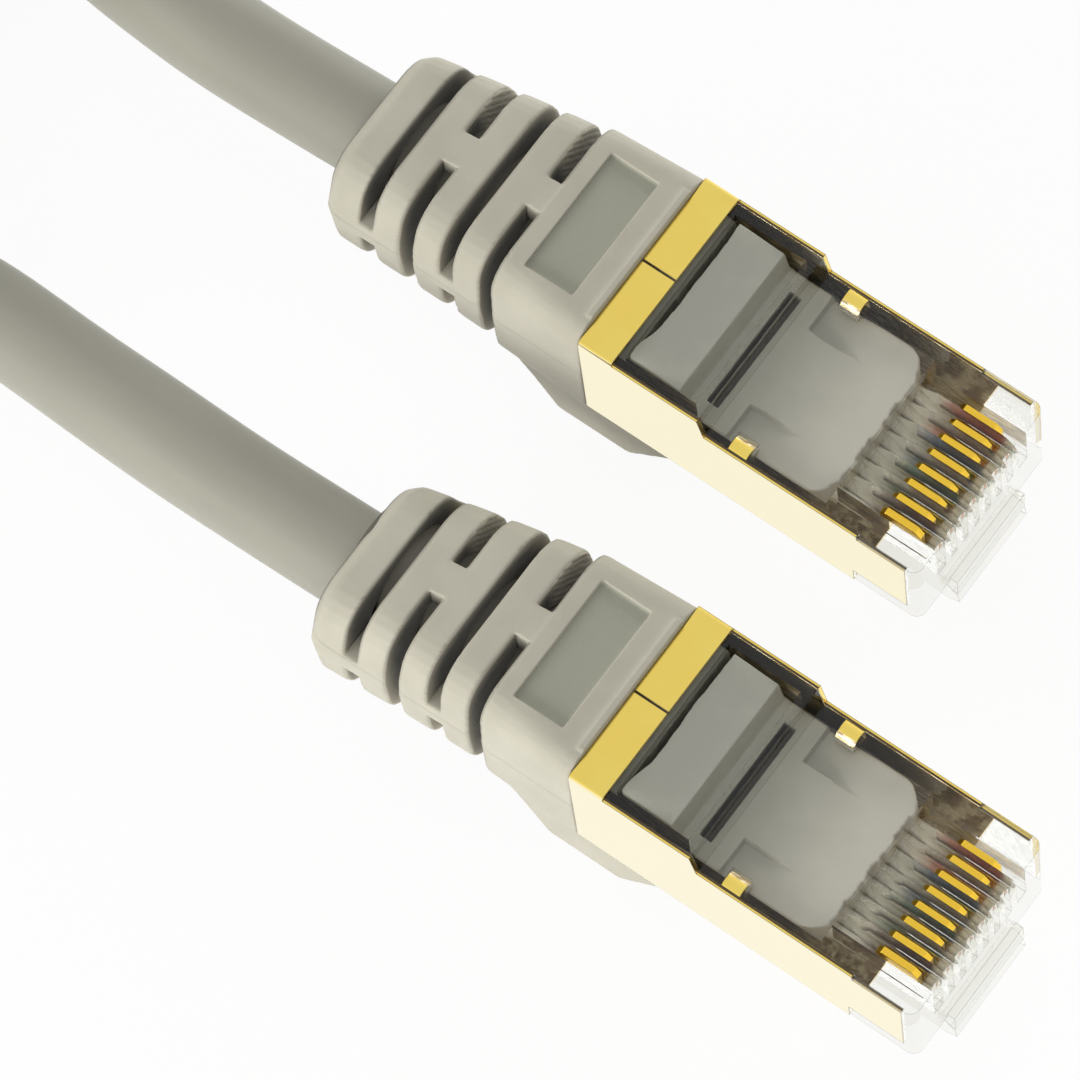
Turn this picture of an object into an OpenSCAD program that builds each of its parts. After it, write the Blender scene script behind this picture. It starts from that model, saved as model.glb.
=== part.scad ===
// Shielded network patch cord: two eight-contact plugs with snagless boots on one round cable.
// The plugs lie side by side with their contacts up, and the spare cable is wound into a tied coil.
// Each plug is drawn in its own frame: X runs the way it mates, Z is up, X = 0 is the rear of its
// shell, and Z = 0 is the underside of its clear housing.

/* [Cable] */
// Outside diameter of the round jacket
cable_d = 5.7; // [5.5:0.1:6]
// Thickness of the jacket
jacket_t = 0.6; // [0.4:0.05:0.8]
// Diameter of one insulated conductor
wire_d = 0.96; // [0.86:0.02:0.98]
// Diameter of the copper in a conductor
core_d = 0.5; // [0.4:0.02:0.56]

/* [Housing] */
// Width across the shell's side panels
plug_w = 11.7; // [11.6:0.05:11.8]
// Length of the housing from its rear edge to its nose
housing_l = 21.9; // [21.5:0.1:22.2]
// Height of the housing behind the shoulder
rear_h = 8; // [7.8:0.1:8.2]
// Height of the housing in front of the shoulder
front_h = 6.3; // [6.1:0.1:6.6]
// Distance from the rear edge to the shoulder
shoulder_x = 7.75; // [7.5:0.05:8]
// Length of the slope down from the shoulder
shoulder_run = 0.35; // [0.2:0.05:0.6]
// Thickness of the housing's floor
floor_t = 0.9; // [0.7:0.05:1]
// Thickness of the housing's roof
roof_t = 0.7; // [0.5:0.05:0.8]
// Thickness of the housing's side walls
side_t = 0.6; // [0.55:0.05:0.8]
// Distance from the rear edge to the strain relief window
window_x = 2.5; // [2.4:0.1:2.8]
// Length of the strain relief window
window_l = 4.6; // [4.2:0.1:4.8]
// Depth of the moulded-in chamber
chamber_l = 15.4; // [15:0.1:15.4]
// Rounding of the nose corners, seen from above
nose_r = 0.6; // [0.3:0.1:0.9]

/* [Contacts] */
// Distance between neighbouring contacts
pitch = 1.02; // [1.01:0.01:1.03]
// Thickness of a contact blade
contact_t = 0.4; // [0.34:0.01:0.44]
// Distance from the nose back to the rear of the contact blades
contact_back = 3.9; // [3.7:0.05:4]
// Length of a contact blade
contact_l = 2.65; // [2.4:0.05:2.7]
// Depth of a contact's top edge below the rails
contact_drop = 0.35; // [0.2:0.05:0.5]
// Height of the conductor row above the housing's underside
wire_z = 3.5; // [3.4:0.05:3.6]
// Length of the pointed rear tip of a comb fin
fin_tip_l = 1.1; // [0.8:0.1:1.4]
// Radius of the rounded front of a comb fin
fin_r = 1.3; // [0.9:0.1:1.5]

/* [Shell] */
// Thickness of the plated sheet
shell_t = 0.25; // [0.2:0.01:0.3]
// Length of the rear band that folds over the top
band_l = 2.2; // [2:0.05:2.3]
// Gap where the two flaps of the band meet
seam_w = 0.12; // [0.06:0.02:0.3]
// Distance from the rear edge to the grounding hooks
hook_x = 9.5; // [9.2:0.1:9.8]
// Width of a grounding hook
hook_l = 1.2; // [0.9:0.05:1.4]
// Outside radius that a grounding hook is bent to
hook_r = 0.68; // [0.55:0.01:0.75]
// Distance from the rear edge to the step in the side panels
step_x = 17.6; // [17.4:0.1:17.8]
// Height of the clear strip under the front of a side panel
strip_h = 1.05; // [0.8:0.05:1.3]
// Distance from the nose back to the front of a side panel
panel_back = 0.8; // [0.7:0.05:1]
// Length of the barrel crimped over the braid
barrel_l = 3.4; // [3:0.1:3.8]

/* [Latch] */
// Width of the latch at its locking shoulders
latch_w = 6.2; // [6:0.05:6.3]
// Width of the latch's finger end
finger_w = 3.4; // [3:0.1:3.8]
// Thickness of the latch lever
latch_t = 0.9; // [0.8:0.05:1]
// Angle between the latch lever and the housing
latch_angle = 8; // [7:0.25:8.5]
// Distance from the rear edge to the end of the latch
latch_end_x = 2.2; // [2:0.1:3]
// Distance from the rear edge to the locking shoulders
lock_x = 13.8; // [13.4:0.1:14.2]
// Radius of the bead that the latch bends on
bead_r = 0.6; // [0.5:0.05:0.6]
// Reach of the latch root in front of the nose
root_reach = 0.5; // [0.4:0.05:0.8]

/* [Boot] */
// Length of the solid block behind the shell
block_l = 5.85; // [5.7:0.05:6]
// Length of the slotted strain relief behind the block
relief_l = 11.45; // [11.2:0.05:11.8]
// Height of the boot's top above the housing's top
boot_rise = 0.7; // [0.5:0.05:0.9]
// Width of the strain relief's cable end at the parting line
relief_w = 10.8; // [10.4:0.1:11]
// Draft that each side of the strain relief has above the parting line
draft = 0.6; // [0.3:0.05:0.8]
// Height that the strain relief loses at the top by its cable end
relief_fall = 0.9; // [0.6:0.05:1.1]
// Rounding of the boot's long edges
boot_r = 2; // [1.6:0.1:2.2]
// Width of a flex slot
slot_w = 1.12; // [1:0.02:1.2]
// Distance between neighbouring flex slots
slot_pitch = 2.68; // [2.6:0.02:2.7]
// Distance from the shell to the middle of the first flex slot
slot_x = 6.42; // [6.4:0.02:6.6]
// Width of the bridge that a side slot leaves at the top and bottom
bridge_w = 2; // [1.8:0.1:2.6]
// Height of the web that a cross slot leaves at each side
web_h = 1.6; // [1.4:0.1:2]
// Depth of the sunk panel on the block
panel_d = 0.3; // [0.2:0.05:0.4]
// Depth of the hood below the housing
hood_drop = 5.8; // [5.7:0.05:6.2]
// Thickness of the hood's bottom
hood_t = 0.8; // [0.7:0.05:0.9]
// Width of the channel that the latch bends into
hood_gap = 5; // [4.6:0.1:5.4]

/* [Layout] */
// Distance between the two plugs' centre lines
spacing = 20; // [18:0.5:24]
// Distance that one plug lies in front of the other
stagger = 14; // [12:0.5:16]
// Diameter of the coil at the middle of its turns
coil_d = 57; // [57:0.5:62]
// Gap left between neighbouring turns of the coil
turn_gap = 0.5; // [0.45:0.05:0.7]
// Width of the hook-and-loop tie
tie_w = 20; // [12:0.5:20]
// Thickness of the tie
tie_t = 0.6; // [0.5:0.05:0.8]

/* [Hidden] */
$fn = 48;
// Clearance between pieces that are fitted into each other
fit = 0.03;
// Amount by which a cut runs past the face that it opens
over = 1;
contact_n = 8;
fin_n = contact_n - 1;

// Height of the cable's centre line above the housing's underside
cable_z = 3.8;
core_w = plug_w - 2 * (shell_t + fit);
chamber_w = core_w - 2 * side_t;
chamber_top = front_h - roof_t;
rail_in = contact_n * pitch / 2;
contact_x = housing_l - contact_back;
panel_l = housing_l - panel_back;
fin_t = pitch - contact_t - 2 * fit;
comb_x = chamber_l + 0.1;
comb_z = wire_z + wire_d / 2 + 0.25;
fin_top = front_h - 0.15;
wire_end = housing_l - 0.7;
wire_start = chamber_l - 3.4;
lip_z = front_h - 0.4;
lip_x = contact_x;

// Jacket, braid and crimp barrel, from the inside out
jacket_end = -0.9;
braid_t = 0.25;
braid_back = barrel_l + 0.1;
barrel_in = cable_d / 2 + braid_t + fit;
barrel_out = barrel_in + shell_t;

// Latch: the bead's centre is the axis that the lever bends about
hinge_x = housing_l + root_reach - 0.9;
hinge_z = -1.45;
root_w = latch_w;
lever_l = hinge_x - latch_end_x;

// Boot
boot_l = block_l + relief_l;
boot_top = rear_h + boot_rise;
boot_low = -1.4;
relief_low = -1;
boot_w = plug_w + 0.1;
hood_w = boot_w - 0.8;
hood_front = 6.6;
hood_top = -shell_t - 0.1;

// Layout: the middle of the two plugs' box stands over the origin
front_reach = housing_l + root_reach;
lift = hood_drop;
plug_a_at = [-(front_reach - boot_l + stagger) / 2, spacing / 2, lift];
plug_b_at = plug_a_at + [stagger, -spacing, 0];
exit_a = plug_a_at + [-boot_l, 0, cable_z];
exit_b = plug_b_at + [-boot_l, 0, cable_z];

// Coil: a flat outer turn, a step in and up to the next layer, and a step out again to the top turn
coil_at = [-85.3, -4];
coil_start = 56;
coil_end = 316;
coil_turns = 2 + (coil_end - coil_start) / 360;
turn_pitch = cable_d + turn_gap;
coil_outer = coil_d / 2 + turn_pitch / 2;
step_from = coil_turns / 2 - 1;
coil_low = tie_t + 0.1 + cable_d / 2;
loop_rings = 24;
coil_sides = 6;
run_sides = 10;

function climb(u) = u <= 0 ? 0 : u >= 1 ? 1 : (1 - cos(180 * u)) / 2;
function step_in(t) = climb((min(t, coil_turns - t) - step_from) / (1 - step_from));
function coil_r(t) = coil_outer - turn_pitch * step_in(t);
function coil_z(t) = coil_low + turn_pitch * climb(2 * (t - coil_turns / 2) + 0.5);
function coil_point(t) = [
    coil_at.x + coil_r(t) * cos(coil_start + 360 * t),
    coil_at.y + coil_r(t) * sin(coil_start + 360 * t),
    coil_z(t)
];
function coil_way(t) = [-sin(coil_start + 360 * t), cos(coil_start + 360 * t), 0];

coil_steps = round(coil_turns * loop_rings);
coil_in = coil_point(0) - cable_d * coil_way(0);
coil_out = coil_point(coil_turns) + cable_d * coil_way(coil_turns);
coil_route = concat(
    [coil_in],
    [for (i = [0:coil_steps]) coil_point(i * coil_turns / coil_steps)],
    [coil_out]
);

// Free stretches of the cable: the ends follow the pieces they meet, and the rest lies as chosen
run_a = [
    exit_a, exit_a - [cable_d, 0, 0],
    [-37.5, 10, 9.3], [-41.5, 10, 8.4], [-46.5, 10.5, 6.9], [-51.8, 12.2, 5.2],
    coil_in - cable_d * coil_way(0), coil_in
];
run_b = [
    exit_b, exit_b - [cable_d, 0, 0],
    [-23.5, -10, 9.3], [-28, -10, 8.3], [-33, -10, 6.6], [-37.5, -10, 5],
    [-41.8, -10.5, 4.2], [-46.4, -11.9, 5.6], [-50.6, -14.2, 7.9],
    coil_out + cable_d * coil_way(coil_turns), coil_out
];

// Least gap between turns, measured between ring centres that are more than a third of a turn apart
coil_gap = min([
    for (i = [0:len(coil_route) - 1])
        for (j = [i + loop_rings / 3:len(coil_route) - 1])
            norm(coil_route[i] - coil_route[j])
]) - cable_d;
function length(p) = [for (i = [1:len(p) - 1]) norm(p[i] - p[i - 1])] * [for (i = [1:len(p) - 1]) 1];
cable_length = length(run_a) + length(coil_route) + length(run_b);
echo(coil_gap = coil_gap, cable_length = cable_length);

// ---- Helpers ----

// Extrudes an outline drawn in X and Z evenly about the plug's middle plane
module across(w) {
    rotate([90, 0, 0])
        linear_extrude(w, center = true)
            children();
}

// Box given by its lowest and highest corners
module box(low, high) {
    translate(low)
        cube(high - low);
}

// Cylinder along X between two stations on the cable's centre line
module on_cable(x0, x1, d) {
    translate([x0, 0, cable_z])
        rotate([0, 90, 0])
            cylinder(h = x1 - x0, d = d);
}

// Outline with draft above and below the parting line and four round corners, drawn in Y and Z
function moulded(w, slant, z0, z1, r, steps = 6) = [
    for (c = [0:3])
        let (
            cy = (c == 0 || c == 3 ? 1 : -1) * (w / 2 - (c < 2 ? slant : slant / 4) - r),
            cz = c < 2 ? z1 - r : z0 + r
        )
        each [
            if (c % 2 == 0) [(c == 0 ? 1 : -1) * w / 2, cable_z],
            for (i = [0:steps])
                let (a = 90 * c + 90 * i / steps)
                [cy + r * cos(a), cz + r * sin(a)]
        ]
];

// Thin slab of an outline drawn in Y and Z, standing at one station on X
module slab(x, points) {
    translate([x, 0, 0])
        rotate([90, 0, 90])
            linear_extrude(0.01)
                polygon(points);
}

// Unit vector along a route at one of its points
function heading(p, i) =
    let (
        a = p[max(i - 1, 0)],
        b = p[min(i + 1, len(p) - 1)]
    )
    (b - a) / norm(b - a);
// At an end the tube is square to its straight first or last step
function square_heading(p, i) =
    i == 0 ? (p[1] - p[0]) / norm(p[1] - p[0]) : heading(p, i);

// Closed tube of n flat sides swept along a route that never stands upright
module tube(p, d, n) {
    last = len(p) - 1;
    points = [
        for (i = [0:last])
            let (
                t = square_heading(p, i),
                s = cross([0, 0, 1], t) / norm(cross([0, 0, 1], t)),
                u = cross(t, s)
            )
            for (j = [0:n - 1])
                p[i] + d / 2 * (cos(360 * j / n) * s + sin(360 * j / n) * u)
    ];
    walls = [
        for (i = [0:last - 1])
            for (j = [0:n - 1])
                let (
                    k = (j + 1) % n,
                    a = i * n + j,
                    b = i * n + k,
                    c = (i + 1) * n + k,
                    e = (i + 1) * n + j
                )
                each [[a, c, b], [a, e, c]]
    ];
    caps = [
        for (j = [1:n - 2])
            each [[0, j, j + 1], [last * n, last * n + j + 1, last * n + j]]
    ];
    polyhedron(points, concat(walls, caps));
}

// ---- Clear housing ----

module housing_outline() {
    polygon([
        [0, 0], [housing_l, 0], [housing_l, front_h],
        [shoulder_x + shoulder_run, front_h], [shoulder_x, rear_h], [0, rear_h]
    ]);
}

// Side view of a comb fin: a tip that leans forward at the rear and a round nose
module fin_outline() {
    difference() {
        polygon([
            [comb_x + 0.6, comb_z - 0.2], [comb_x + 0.2, fin_top - 0.3], [comb_x + 0.5, fin_top],
            [housing_l, fin_top], [housing_l, wire_z - 0.6], [wire_end, wire_z - 0.6],
            [wire_end, comb_z - 0.2]
        ]);
        difference() {
            translate([housing_l - fin_r, fin_top - fin_r])
                square(fin_r + over);
            translate([housing_l - fin_r, fin_top - fin_r])
                circle(fin_r);
        }
    }
}

// Plan view of a comb fin: a spear point at the rear
module fin_plan() {
    polygon([
        [comb_x + 0.2, 0], [comb_x + 0.2 + fin_tip_l, fin_t / 2], [housing_l, fin_t / 2],
        [housing_l, -fin_t / 2], [comb_x + 0.2 + fin_tip_l, -fin_t / 2]
    ]);
}

module fins() {
    for (i = [0:fin_n - 1])
        translate([0, (i - (fin_n - 1) / 2) * pitch, 0])
            intersection() {
                across(fin_t + over)
                    fin_outline();
                linear_extrude(front_h)
                    fin_plan();
            }
}

// Slot in the floor of the comb that a contact is pressed down through
module contact_slots(gap) {
    for (i = [0:contact_n - 1])
        translate([0, (i - (contact_n - 1) / 2) * pitch, 0])
            box(
                [contact_x - gap, -contact_t / 2 - gap, wire_z],
                [contact_x + contact_l + gap, contact_t / 2 + gap, front_h + over]
            );
}

// Groove in the latch root that the latch's bead turns in
module bead_groove() {
    translate([hinge_x, 0, hinge_z])
        rotate([90, 0, 0])
            cylinder(h = root_w + over, r = bead_r + 0.05, center = true);
}

module latch_root() {
    difference() {
        box(
            [hinge_x - bead_r - 0.1, -root_w / 2, hinge_z + bead_r * 0.5],
            [housing_l + root_reach, root_w / 2, 0.4]
        );
        bead_groove();
    }
}

module nose_plan() {
    square_w = plug_w - 2 * nose_r;
    translate([0, -plug_w / 2])
        square([housing_l - nose_r, plug_w]);
    translate([0, -square_w / 2])
        square([housing_l, square_w]);
    for (side = [-1, 1])
        translate([housing_l - nose_r, side * square_w / 2])
            circle(nose_r);
}

module housing_shape() {
    across(core_w)
        housing_outline();
    box([panel_l + fit, -plug_w / 2, 0], [housing_l, plug_w / 2, front_h]);
    box([lip_x, -plug_w / 2, lip_z + fit], [housing_l, plug_w / 2, front_h]);
    box([step_x + fit, -plug_w / 2, 0], [housing_l, plug_w / 2, strip_h - fit]);
}

// Notches in the side walls for the hooks, and for their ends
module hook_notches() {
    w = 2 * (hook_r + fit);
    for (side = [-1, 1])
        scale([1, side, 1])
            box(
                [hook_x - fit, plug_w / 2 + fit - w, front_h + 0.1 - hook_r - 0.4],
                [hook_x + hook_l + fit, core_w / 2 + over, front_h + over]
            );
}

module housing() color([0.93, 0.94, 0.93, 0.35]) {
    difference() {
        intersection() {
            housing_shape();
            linear_extrude(rear_h)
                nose_plan();
        }
        // Chamber, open at the rear, with a lower roof in front of the shoulder
        box([-over, -chamber_w / 2, floor_t], [window_x + window_l, chamber_w / 2, rear_h - roof_t]);
        box([-over, -chamber_w / 2, floor_t], [chamber_l, chamber_w / 2, chamber_top]);
        // Strain relief window
        box(
            [window_x, -chamber_w / 2, front_h - over],
            [window_x + window_l, chamber_w / 2, rear_h + over]
        );
        // Tunnel for the row of conductors
        box(
            [chamber_l - over, -rail_in, wire_z - wire_d / 2 - fit],
            [wire_end, rail_in, wire_z + wire_d / 2 + fit]
        );
        // Comb, open at the top and the nose
        box([comb_x, -rail_in, comb_z], [housing_l + over, rail_in, front_h + over]);
        box([wire_end, -rail_in, wire_z - 0.6], [housing_l + over, rail_in, front_h + over]);
        contact_slots(fit);
        hook_notches();
    }
    fins();
    latch_root();
}

// ---- Contacts ----

// Side view of a contact: a flat top with round corners and two piercing teeth
module contact_outline() {
    top = front_h - contact_drop;
    tooth = contact_l / 4;
    shank = wire_z + wire_d / 2 + 0.1;
    tip = wire_z + core_d / 2;
    corner = 0.35;
    translate([contact_x, 0])
        polygon([
            [0, shank], [tooth / 2, tip], [tooth, shank], [contact_l - tooth, shank],
            [contact_l - tooth / 2, tip], [contact_l, shank], [contact_l, top - corner],
            [contact_l - corner, top], [corner, top], [0, top - corner]
        ]);
}

module contacts() color("gold") {
    for (i = [0:contact_n - 1])
        translate([0, (i - (contact_n - 1) / 2) * pitch, 0])
            across(contact_t)
                contact_outline();
}

// ---- Conductors ----

module wire(slot, d, x0) {
    translate([x0, (slot - (contact_n - 1) / 2) * pitch, wire_z])
        rotate([0, 90, 0])
            cylinder(h = wire_end - fit - x0, d = d);
}

// Insulation of the two conductors of a pair, pierced by the contacts; slot 0 lies at the -Y side
module pair(slots, tint) color(tint) {
    difference() {
        for (s = slots)
            wire(s, wire_d, wire_start);
        for (s = slots)
            wire(s, core_d, wire_start - over);
        contact_slots(0);
    }
}

module pair_orange() {
    pair([7, 6], "darkorange");
}

module pair_green() {
    pair([5, 2], "seagreen");
}

module pair_blue() {
    pair([4, 3], "royalblue");
}

module pair_brown() {
    pair([1, 0], "saddlebrown");
}

module copper() color("peru") {
    for (s = [0:contact_n - 1])
        wire(s, core_d, wire_start);
}

// ---- Shell ----

// Side panel: follows the housing, steps up at the nose and drops under its lip
module panel_outline() {
    polygon([
        [0, -shell_t], [step_x, -shell_t], [step_x, strip_h], [panel_l, strip_h], [panel_l, lip_z],
        [lip_x, lip_z], [lip_x, front_h], [shoulder_x + shoulder_run, front_h],
        [shoulder_x, rear_h], [band_l, rear_h], [band_l, rear_h - 0.1], [0, rear_h - 0.1]
    ]);
}

// Band of sheet that goes over the top and down both sides, with bent corners
module band_outline(grow) {
    r = 0.06 + grow;
    w = core_w + 2 * fit + 2 * grow;
    top = rear_h + fit + grow;
    translate([-w / 2, 0])
        square([w, top - r]);
    translate([-w / 2 + r, 0])
        square([w - 2 * r, top]);
    for (side = [-1, 1])
        translate([side * (w / 2 - r), top - r])
            circle(r);
}

module band() {
    rotate([90, 0, 90])
        linear_extrude(band_l)
            difference() {
                band_outline(shell_t);
                band_outline(0);
                translate([-seam_w / 2, rear_h - over])
                    square([seam_w, 2 * over]);
            }
}

// Hook: a strip bent round in a half ring over the side wall and down into a notch in the roof
module hook() {
    mid = [plug_w / 2 - hook_r, front_h + 0.1 - hook_r];
    translate([hook_x, 0, 0])
        rotate([90, 0, 90])
            linear_extrude(hook_l) {
                difference() {
                    translate(mid)
                        circle(hook_r);
                    translate(mid)
                        circle(hook_r - shell_t);
                    translate([0, mid.y - 2 * hook_r])
                        square([plug_w, 2 * hook_r]);
                }
                translate([mid.x - hook_r, mid.y - 0.3])
                    square([shell_t, 0.3 + 0.01]);
                translate([mid.x + hook_r - shell_t, mid.y - 0.5])
                    square([shell_t, 0.5 + 0.01]);
            }
}

module shell() color([0.95, 0.8, 0.4]) {
    for (side = [-1, 1])
        translate([0, side * (plug_w / 2 - shell_t / 2), 0])
            across(shell_t)
                panel_outline();
    hook();
    mirror([0, 1, 0])
        hook();
    band();
    // Bottom sheet
    box([0, -plug_w / 2, -shell_t - fit], [step_x, plug_w / 2, -fit]);
    // Crimp barrel and the neck that carries it
    difference() {
        union() {
            on_cable(-barrel_l - 0.6, -0.6, 2 * barrel_out);
            box([-1.4, -2, -shell_t - fit], [0.2, 2, cable_z - barrel_in]);
        }
        on_cable(-barrel_l - over, 0.1, 2 * barrel_in);
        box([-0.35, -2 - over, -fit], [0.3, 2 + over, cable_z]);
    }
}

// ---- Cable end inside the boot ----

module jacket_end() color([0.62, 0.61, 0.56]) {
    difference() {
        on_cable(-boot_l, jacket_end, cable_d);
        on_cable(-boot_l - over, jacket_end + over, cable_d - 2 * jacket_t);
    }
}

// Braid and its foil: inside the jacket, then folded back over its end
module braid() color([0.75, 0.76, 0.78]) {
    translate([0, 0, cable_z])
        rotate([0, 90, 0])
            rotate_extrude()
                polygon([
                    [0.2, -boot_l], [cable_d / 2 - jacket_t - fit, -boot_l],
                    [cable_d / 2 - jacket_t - fit, jacket_end + fit],
                    [cable_d / 2 + fit, jacket_end + fit], [cable_d / 2 + fit, -braid_back],
                    [barrel_in - fit, -braid_back], [barrel_in - fit, -fit], [0.2, -fit]
                ]);
}

// ---- Moulded filling inside the housing ----

// Plan of the filling: its front corners are rounded
module filling_plan() {
    w = chamber_w - 2 * fit;
    front = chamber_l - fit;
    r = 1.6;
    translate([0, -w / 2])
        square([front - r, w]);
    translate([0, -w / 2 + r])
        square([front, w - 2 * r]);
    for (side = [-1, 1])
        translate([front - r, side * (w / 2 - r)])
            circle(r);
}

// Side view of the filling: a sloped pad in the window, a step, and a long flat top in front
module filling_outline() {
    pad_front = window_x + 0.76 * window_l;
    pad_top = rear_h - 0.2;
    low = floor_t + fit;
    roof = rear_h - roof_t - fit;
    polygon([
        [0, low], [chamber_l, low], [chamber_l, chamber_top - fit],
        [window_x + window_l, chamber_top - fit], [pad_front + 0.35, chamber_top + 0.3],
        [pad_front, pad_top - 0.25], [window_x + 0.35, pad_top], [window_x + 0.35, roof], [0, roof]
    ]);
}

module overmould() color([0.6, 0.59, 0.54]) {
    difference() {
        intersection() {
            across(chamber_w)
                filling_outline();
            linear_extrude(rear_h)
                filling_plan();
        }
        // Space for the row of conductors
        box(
            [wire_start, -rail_in, wire_z - wire_d / 2 - fit],
            [chamber_l + over, rail_in, wire_z + wire_d / 2 + fit]
        );
        // Ejector slot across the step
        box(
            [window_x + window_l + 0.15, -3.8, chamber_top - 1.5],
            [window_x + window_l + 0.45, 3.8, chamber_top + over]
        );
        // Sunk corners under the grounding hooks
        for (side = [-1, 1])
            scale([1, side, 1])
                box(
                    [hook_x - 0.7, chamber_w / 2 - 2.3, chamber_top - 0.5],
                    [hook_x + 2.8, chamber_w / 2 + over, rear_h]
                );
    }
}

// ---- Latch ----

// Side view of the lever, drawn from the hinge axis along -X before it is tipped
module lever_outline() {
    t = latch_t / 2;
    reach = housing_l + root_reach - hinge_x - 0.05;
    polygon([
        [-lever_l, -t * 0.6], [-lever_l, t * 0.6], [-lever_l + 0.6, t], [-1.5, t], [-0.9, 0.2],
        [0.4, 0.2], [reach, 0], [reach, -0.9], [0, -1.2],
        [-1.6, -t - 0.35], [-3.6, -t], [-lever_l + 0.6, -t]
    ]);
}

// Plan of the lever: wide to the locking shoulders, then a narrow finger that spreads a little
module lever_plan() {
    lock = lock_x - hinge_x;
    polygon([
        [1, latch_w / 2], [lock, latch_w / 2],
        [lock, finger_w / 2 - 0.2], [-lever_l + 2.5, finger_w / 2 - 0.2], [-lever_l, finger_w / 2],
        [-lever_l, -finger_w / 2], [-lever_l + 2.5, -finger_w / 2 + 0.2],
        [lock, -finger_w / 2 + 0.2], [lock, -latch_w / 2], [1, -latch_w / 2]
    ]);
}

module latch() color([0.93, 0.94, 0.93, 0.35]) {
    translate([hinge_x, 0, hinge_z]) {
        rotate([0, -latch_angle, 0])
            intersection() {
                across(latch_w)
                    lever_outline();
                translate([0, 0, -3])
                    linear_extrude(6)
                        lever_plan();
            }
        rotate([90, 0, 0])
            cylinder(h = latch_w, r = bead_r, center = true);
    }
}

// ---- Boot ----

// Side view of the hood under the plug, with a flat sole that the plug rests on
module hood_outline() {
    sole = -hood_drop;
    polygon([
        [-block_l + 0.1, 0], [-4, -2.3], [-2.4, -4.8], [-1.3, sole], [1, sole], [2.9, -3.9],
        [5.4, -1.2], [hood_front, hood_top - 0.1], [hood_front, hood_top], [0, hood_top], [0, 0]
    ]);
}

module hood() {
    difference() {
        intersection() {
            across(hood_w)
                hood_outline();
            // Flanks that draw in towards the sole
            rotate([90, 0, 90])
                translate([0, 0, -boot_l])
                    linear_extrude(2 * boot_l)
                        polygon([
                            [-hood_w / 2, over], [-hood_w / 2, -4.6], [-hood_w / 2 + 0.5, -hood_drop],
                            [hood_w / 2 - 0.5, -hood_drop], [hood_w / 2, -4.6], [hood_w / 2, over]
                        ]);
        }
        box(
            [latch_end_x - 1.2, -hood_gap / 2, -hood_drop + hood_t],
            [hood_front + over, hood_gap / 2, over]
        );
    }
}

module block() {
    hull() {
        slab(-block_l, moulded(boot_w, draft / 3, boot_low, boot_top, boot_r));
        slab(-0.01, moulded(boot_w, 0.1, boot_low, boot_top, boot_r * 0.6));
    }
    // Raised lip beside the shell
    box([-0.8, -4.4, boot_top - 0.5], [0, 4.4, boot_top + 0.12]);
}

module relief() {
    end_top = boot_top - relief_fall;
    hull() {
        slab(-boot_l, moulded(relief_w - 1, draft, relief_low + 0.5, end_top - 0.4, boot_r));
        slab(-boot_l + 0.7, moulded(relief_w, draft, relief_low, end_top, boot_r * 1.2));
        slab(-block_l, moulded(boot_w - 0.1, draft / 2, boot_low + 0.15, boot_top - 0.05, boot_r * 1.1));
    }
}

// Slots that let the strain relief bend: side slots and cross slots take turns
module flex_slots() {
    for (i = [0:3]) {
        x = -slot_x - i * slot_pitch;
        if (i % 2 == 0)
            for (side = [-1, 1])
                scale([1, side, 1])
                    box(
                        [x - slot_w / 2, bridge_w / 2, boot_low - over],
                        [x + slot_w / 2, boot_w, boot_top + over]
                    );
        else
            for (half = [-1, 1])
                translate([x - slot_w / 2, -boot_w, cable_z + (half < 0 ? -web_h / 2 - 9 : web_h / 2)])
                    cube([slot_w, 2 * boot_w, 9]);
    }
}

module boot() color([0.66, 0.64, 0.58]) {
    difference() {
        union() {
            block();
            relief();
            hood();
        }
        flex_slots();
        // Sunk panel on top of the block
        box([-block_l + 1, -3.95, boot_top - panel_d], [-1.7, 3.95, boot_top + over]);
        on_cable(-boot_l - over, -1, cable_d + 2 * fit);
        on_cable(-barrel_l - 0.6 - fit, over, 2 * (barrel_out + fit));
        // Room for the neck of the crimp barrel
        box([-1.4 - fit, -2 - fit, -shell_t - 2 * fit], [over, 2 + fit, cable_z]);
        // The front face stands off the shell by the fit
        box([-fit, -plug_w, hood_top + fit], [over, plug_w, boot_top + over]);
    }
}

// ---- Cable, coil and tie ----

module cable_run_a() color([0.66, 0.65, 0.6]) {
    tube(run_a, cable_d, run_sides);
}

module cable_coil() color([0.66, 0.65, 0.6]) {
    tube(coil_route, cable_d, coil_sides);
}

module cable_run_b() color([0.66, 0.65, 0.6]) {
    tube(run_b, cable_d, run_sides);
}

// Outline of the tie with rounded corners, drawn in X and Z: its flat inner wall clears the curved turns
module tie_outline(grow) {
    slack = 0.15;
    inner_r = coil_r(coil_turns / 2) - cable_d / 2;
    in = -sqrt(inner_r ^ 2 - (tie_w / 2) ^ 2) + slack + grow;
    out = -coil_r((180 - coil_start) / 360) - cable_d / 2 - slack - grow;
    low = coil_low - cable_d / 2 - 0.1 - grow;
    high = coil_low + turn_pitch + cable_d / 2 + 0.1 + grow;
    r = 2 + grow;
    translate([out + r, low])
        square([in - out - 2 * r, high - low]);
    translate([out, low + r])
        square([in - out, high - low - 2 * r]);
    for (x = [out + r, in - r])
        for (z = [low + r, high - r])
            translate([x, z])
                circle(r);
}

module coil_tie() color([0.15, 0.15, 0.16]) {
    translate([coil_at.x, coil_at.y, 0])
        across(tie_w)
            difference() {
                tie_outline(tie_t);
                tie_outline(0);
            }
}

// ---- Assembly ----

module at_a() {
    translate(plug_a_at)
        children();
}

module at_b() {
    translate(plug_b_at)
        children();
}

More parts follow.
